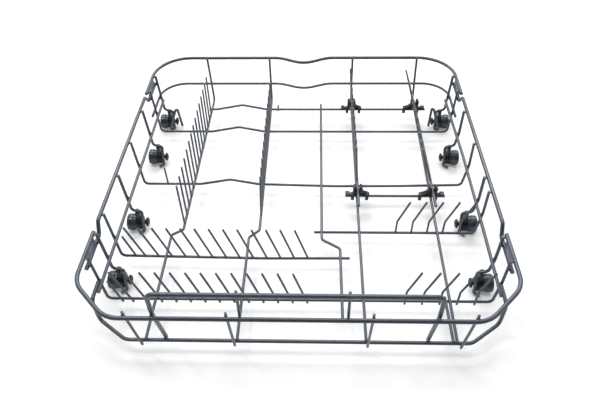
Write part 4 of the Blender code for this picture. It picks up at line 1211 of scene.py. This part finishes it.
def add_lamp(name, place, size, energy):
    """A rectangular lamp that faces the basket."""
    data = bpy.data.lights.new(name, "AREA")
    data.shape, data.size, data.size_y, data.energy = "RECTANGLE", size[0], size[1], energy
    lamp = into_scene(name, data)
    lamp.location = place
    lamp.rotation_euler = (Vector(LAMP_TARGET) - Vector(place)).to_track_quat("-Z", "Y").to_euler()


def add_room():
    """The white room: its light and its reflection grow towards the rear, and the camera sees it white."""
    world = bpy.data.worlds.new("studio")
    bpy.context.scene.world = world
    world.use_nodes = True
    tree = world.node_tree
    tree.nodes.clear()
    path = add(tree, "ShaderNodeLightPath")
    seen = add(tree, "ShaderNodeMath", operation="MAXIMUM")
    mirrored = add(tree, "ShaderNodeMath", operation="MAXIMUM")
    lit, shown = (add(tree, "ShaderNodeBackground", {"Color": WHITE}) for _ in range(2))
    ray, split = add(tree, "ShaderNodeNewGeometry"), add(tree, "ShaderNodeSeparateXYZ")
    link_all(tree, (ray, "Incoming", split, 0))
    for background, (front, rear) in ((lit, ROOM_LIGHT), (shown, ROOM_REFLECTION)):
        limits = {"From Min": ROOM_FADE[0], "From Max": ROOM_FADE[1], "To Min": front, "To Max": rear}
        fade = add(tree, "ShaderNodeMapRange", limits, interpolation_type="SMOOTHSTEP")
        strength = add(tree, "ShaderNodeMath", operation="MAXIMUM")
        link_all(
            tree,
            (split, "Y", fade, "Value"),
            (fade, "Result", strength, 0),
            (path, "Is Camera Ray", strength, 1),
            (strength, 0, background, "Strength"),
        )
    mix, out = add(tree, "ShaderNodeMixShader"), add(tree, "ShaderNodeOutputWorld")
    link_all(
        tree,
        (path, "Is Camera Ray", seen, 0),
        (path, "Is Glossy Ray", seen, 1),
        (seen, 0, mirrored, 0),
        (path, "Is Transmission Ray", mirrored, 1),
        (mirrored, 0, mix, "Fac"),
        (lit, 0, mix, 1),
        (shown, 0, mix, 2),
        (mix, 0, out, "Surface"),
    )


def add_ground():
    """The ground, which keeps the shadows. The camera sees it whiten away from the basket."""
    shape = bmesh.new()
    bmesh.ops.create_grid(shape, x_segments=1, y_segments=1, size=GROUND_REACH)
    mesh = plain_mesh(shape, "studio_floor")
    floor = into_scene("studio_floor", mesh)
    material = bpy.data.materials.new("studio floor")
    material.use_nodes = True
    tree = material.node_tree
    shader = tree.nodes["Principled BSDF"]
    set_inputs(shader, {**GROUND_SURFACE, "Emission Color": WHITE})
    path, place = add(tree, "ShaderNodeLightPath"), add(tree, "ShaderNodeTexCoord")
    reach = add(tree, "ShaderNodeVectorMath", operation="LENGTH")
    whiter = add(tree, "ShaderNodeMapRange", GROUND_WHITENING, interpolation_type="SMOOTHSTEP")
    lift = add(tree, "ShaderNodeMath", operation="MULTIPLY")
    link_all(
        tree,
        (place, "Object", reach, 0),
        (reach, "Value", whiter, "Value"),
        (whiter, "Result", lift, 1),
        (path, "Is Camera Ray", lift, 0),
        (lift, 0, shader, "Emission Strength"),
    )
    mesh.materials.append(material)


def add_studio():
    """The room, the ground and the lamps."""
    add_room()
    add_ground()
    for lamp in LAMPS:
        add_lamp(*lamp)
    bpy.context.scene.view_settings.view_transform = "Standard"


def add_wires(material):
    """Every wire, and the collars at the welds of each body."""
    for lay in (lay_rim, lay_front, lay_cross_wires, lay_long_wires, lay_wheel_posts, lay_folding_rows):
        lay()
    sweep, collar = coated_wire_tree(), weld_collar_tree()
    fixed = [node for node in routes if not node.startswith("folding_row")]
    for node in routes:
        wire_piece(node, "basket" if node in fixed else node, material, sweep)
    add_welds("weld_collars", "basket", fixed, material, collar)
    for number in (1, 2):
        node = f"folding_row_{number}"
        add_welds(f"weld_collars_row_{number}", node, [node], material, collar)


def add_plates_and_rollers(plate, roller, black):
    """The joint plates, and each roller with its holder. The left ones are mirrored."""
    ribs = ring_tree()
    for side, word in SIDES:
        for place, span in zip(("front", "rear"), PLATE_SPANS):
            node = f"joint_plate_{place}_{word}"
            add_piece(f"coated_{node}", plate_mesh(side, span, plate), "basket", "joint_plate", node)
        for number, y in enumerate(WHEEL_Y, 1):
            node = f"wheel_{word}_{number}"
            mesh = moved(roller_mesh(roller, ribs), (side * WHEEL_INNER_X, y, AXLE_HEIGHT), side < 0)
            add_piece(f"moulded_{node}", mesh, node, "wheel_plastic", node)
            node = f"wheel_holder_{word}_{number}"
            mesh = moved(holder_mesh(black, ribs), (0, y, AXLE_HEIGHT), side < 0)
            add_piece(f"moulded_{node}", mesh, "basket", "black_plastic", node)


def add_clips(black):
    """The four clips that hold the rods, the rear two first."""
    spots = [(y, *rod) for y in (CROSS_A_Y, CLIP_WIRE_Y) for rod in zip(ROD_X, CLIP_FOOT_X, (1, -1))]
    for number, (y, x, feet, long_side) in enumerate(spots, 1):
        node = f"row_clip_{number}"
        mesh = moved(clip_mesh(feet, long_side, black), (x, y, ROD_HEIGHT))
        add_piece(f"moulded_{node}", mesh, "basket", "black_plastic", node)


def main():
    coated, plate, roller, black = make_finishes()
    add_wires(coated)
    add_plates_and_rollers(plate, roller, black)
    add_clips(black)
    add_camera()
    add_studio()


main()
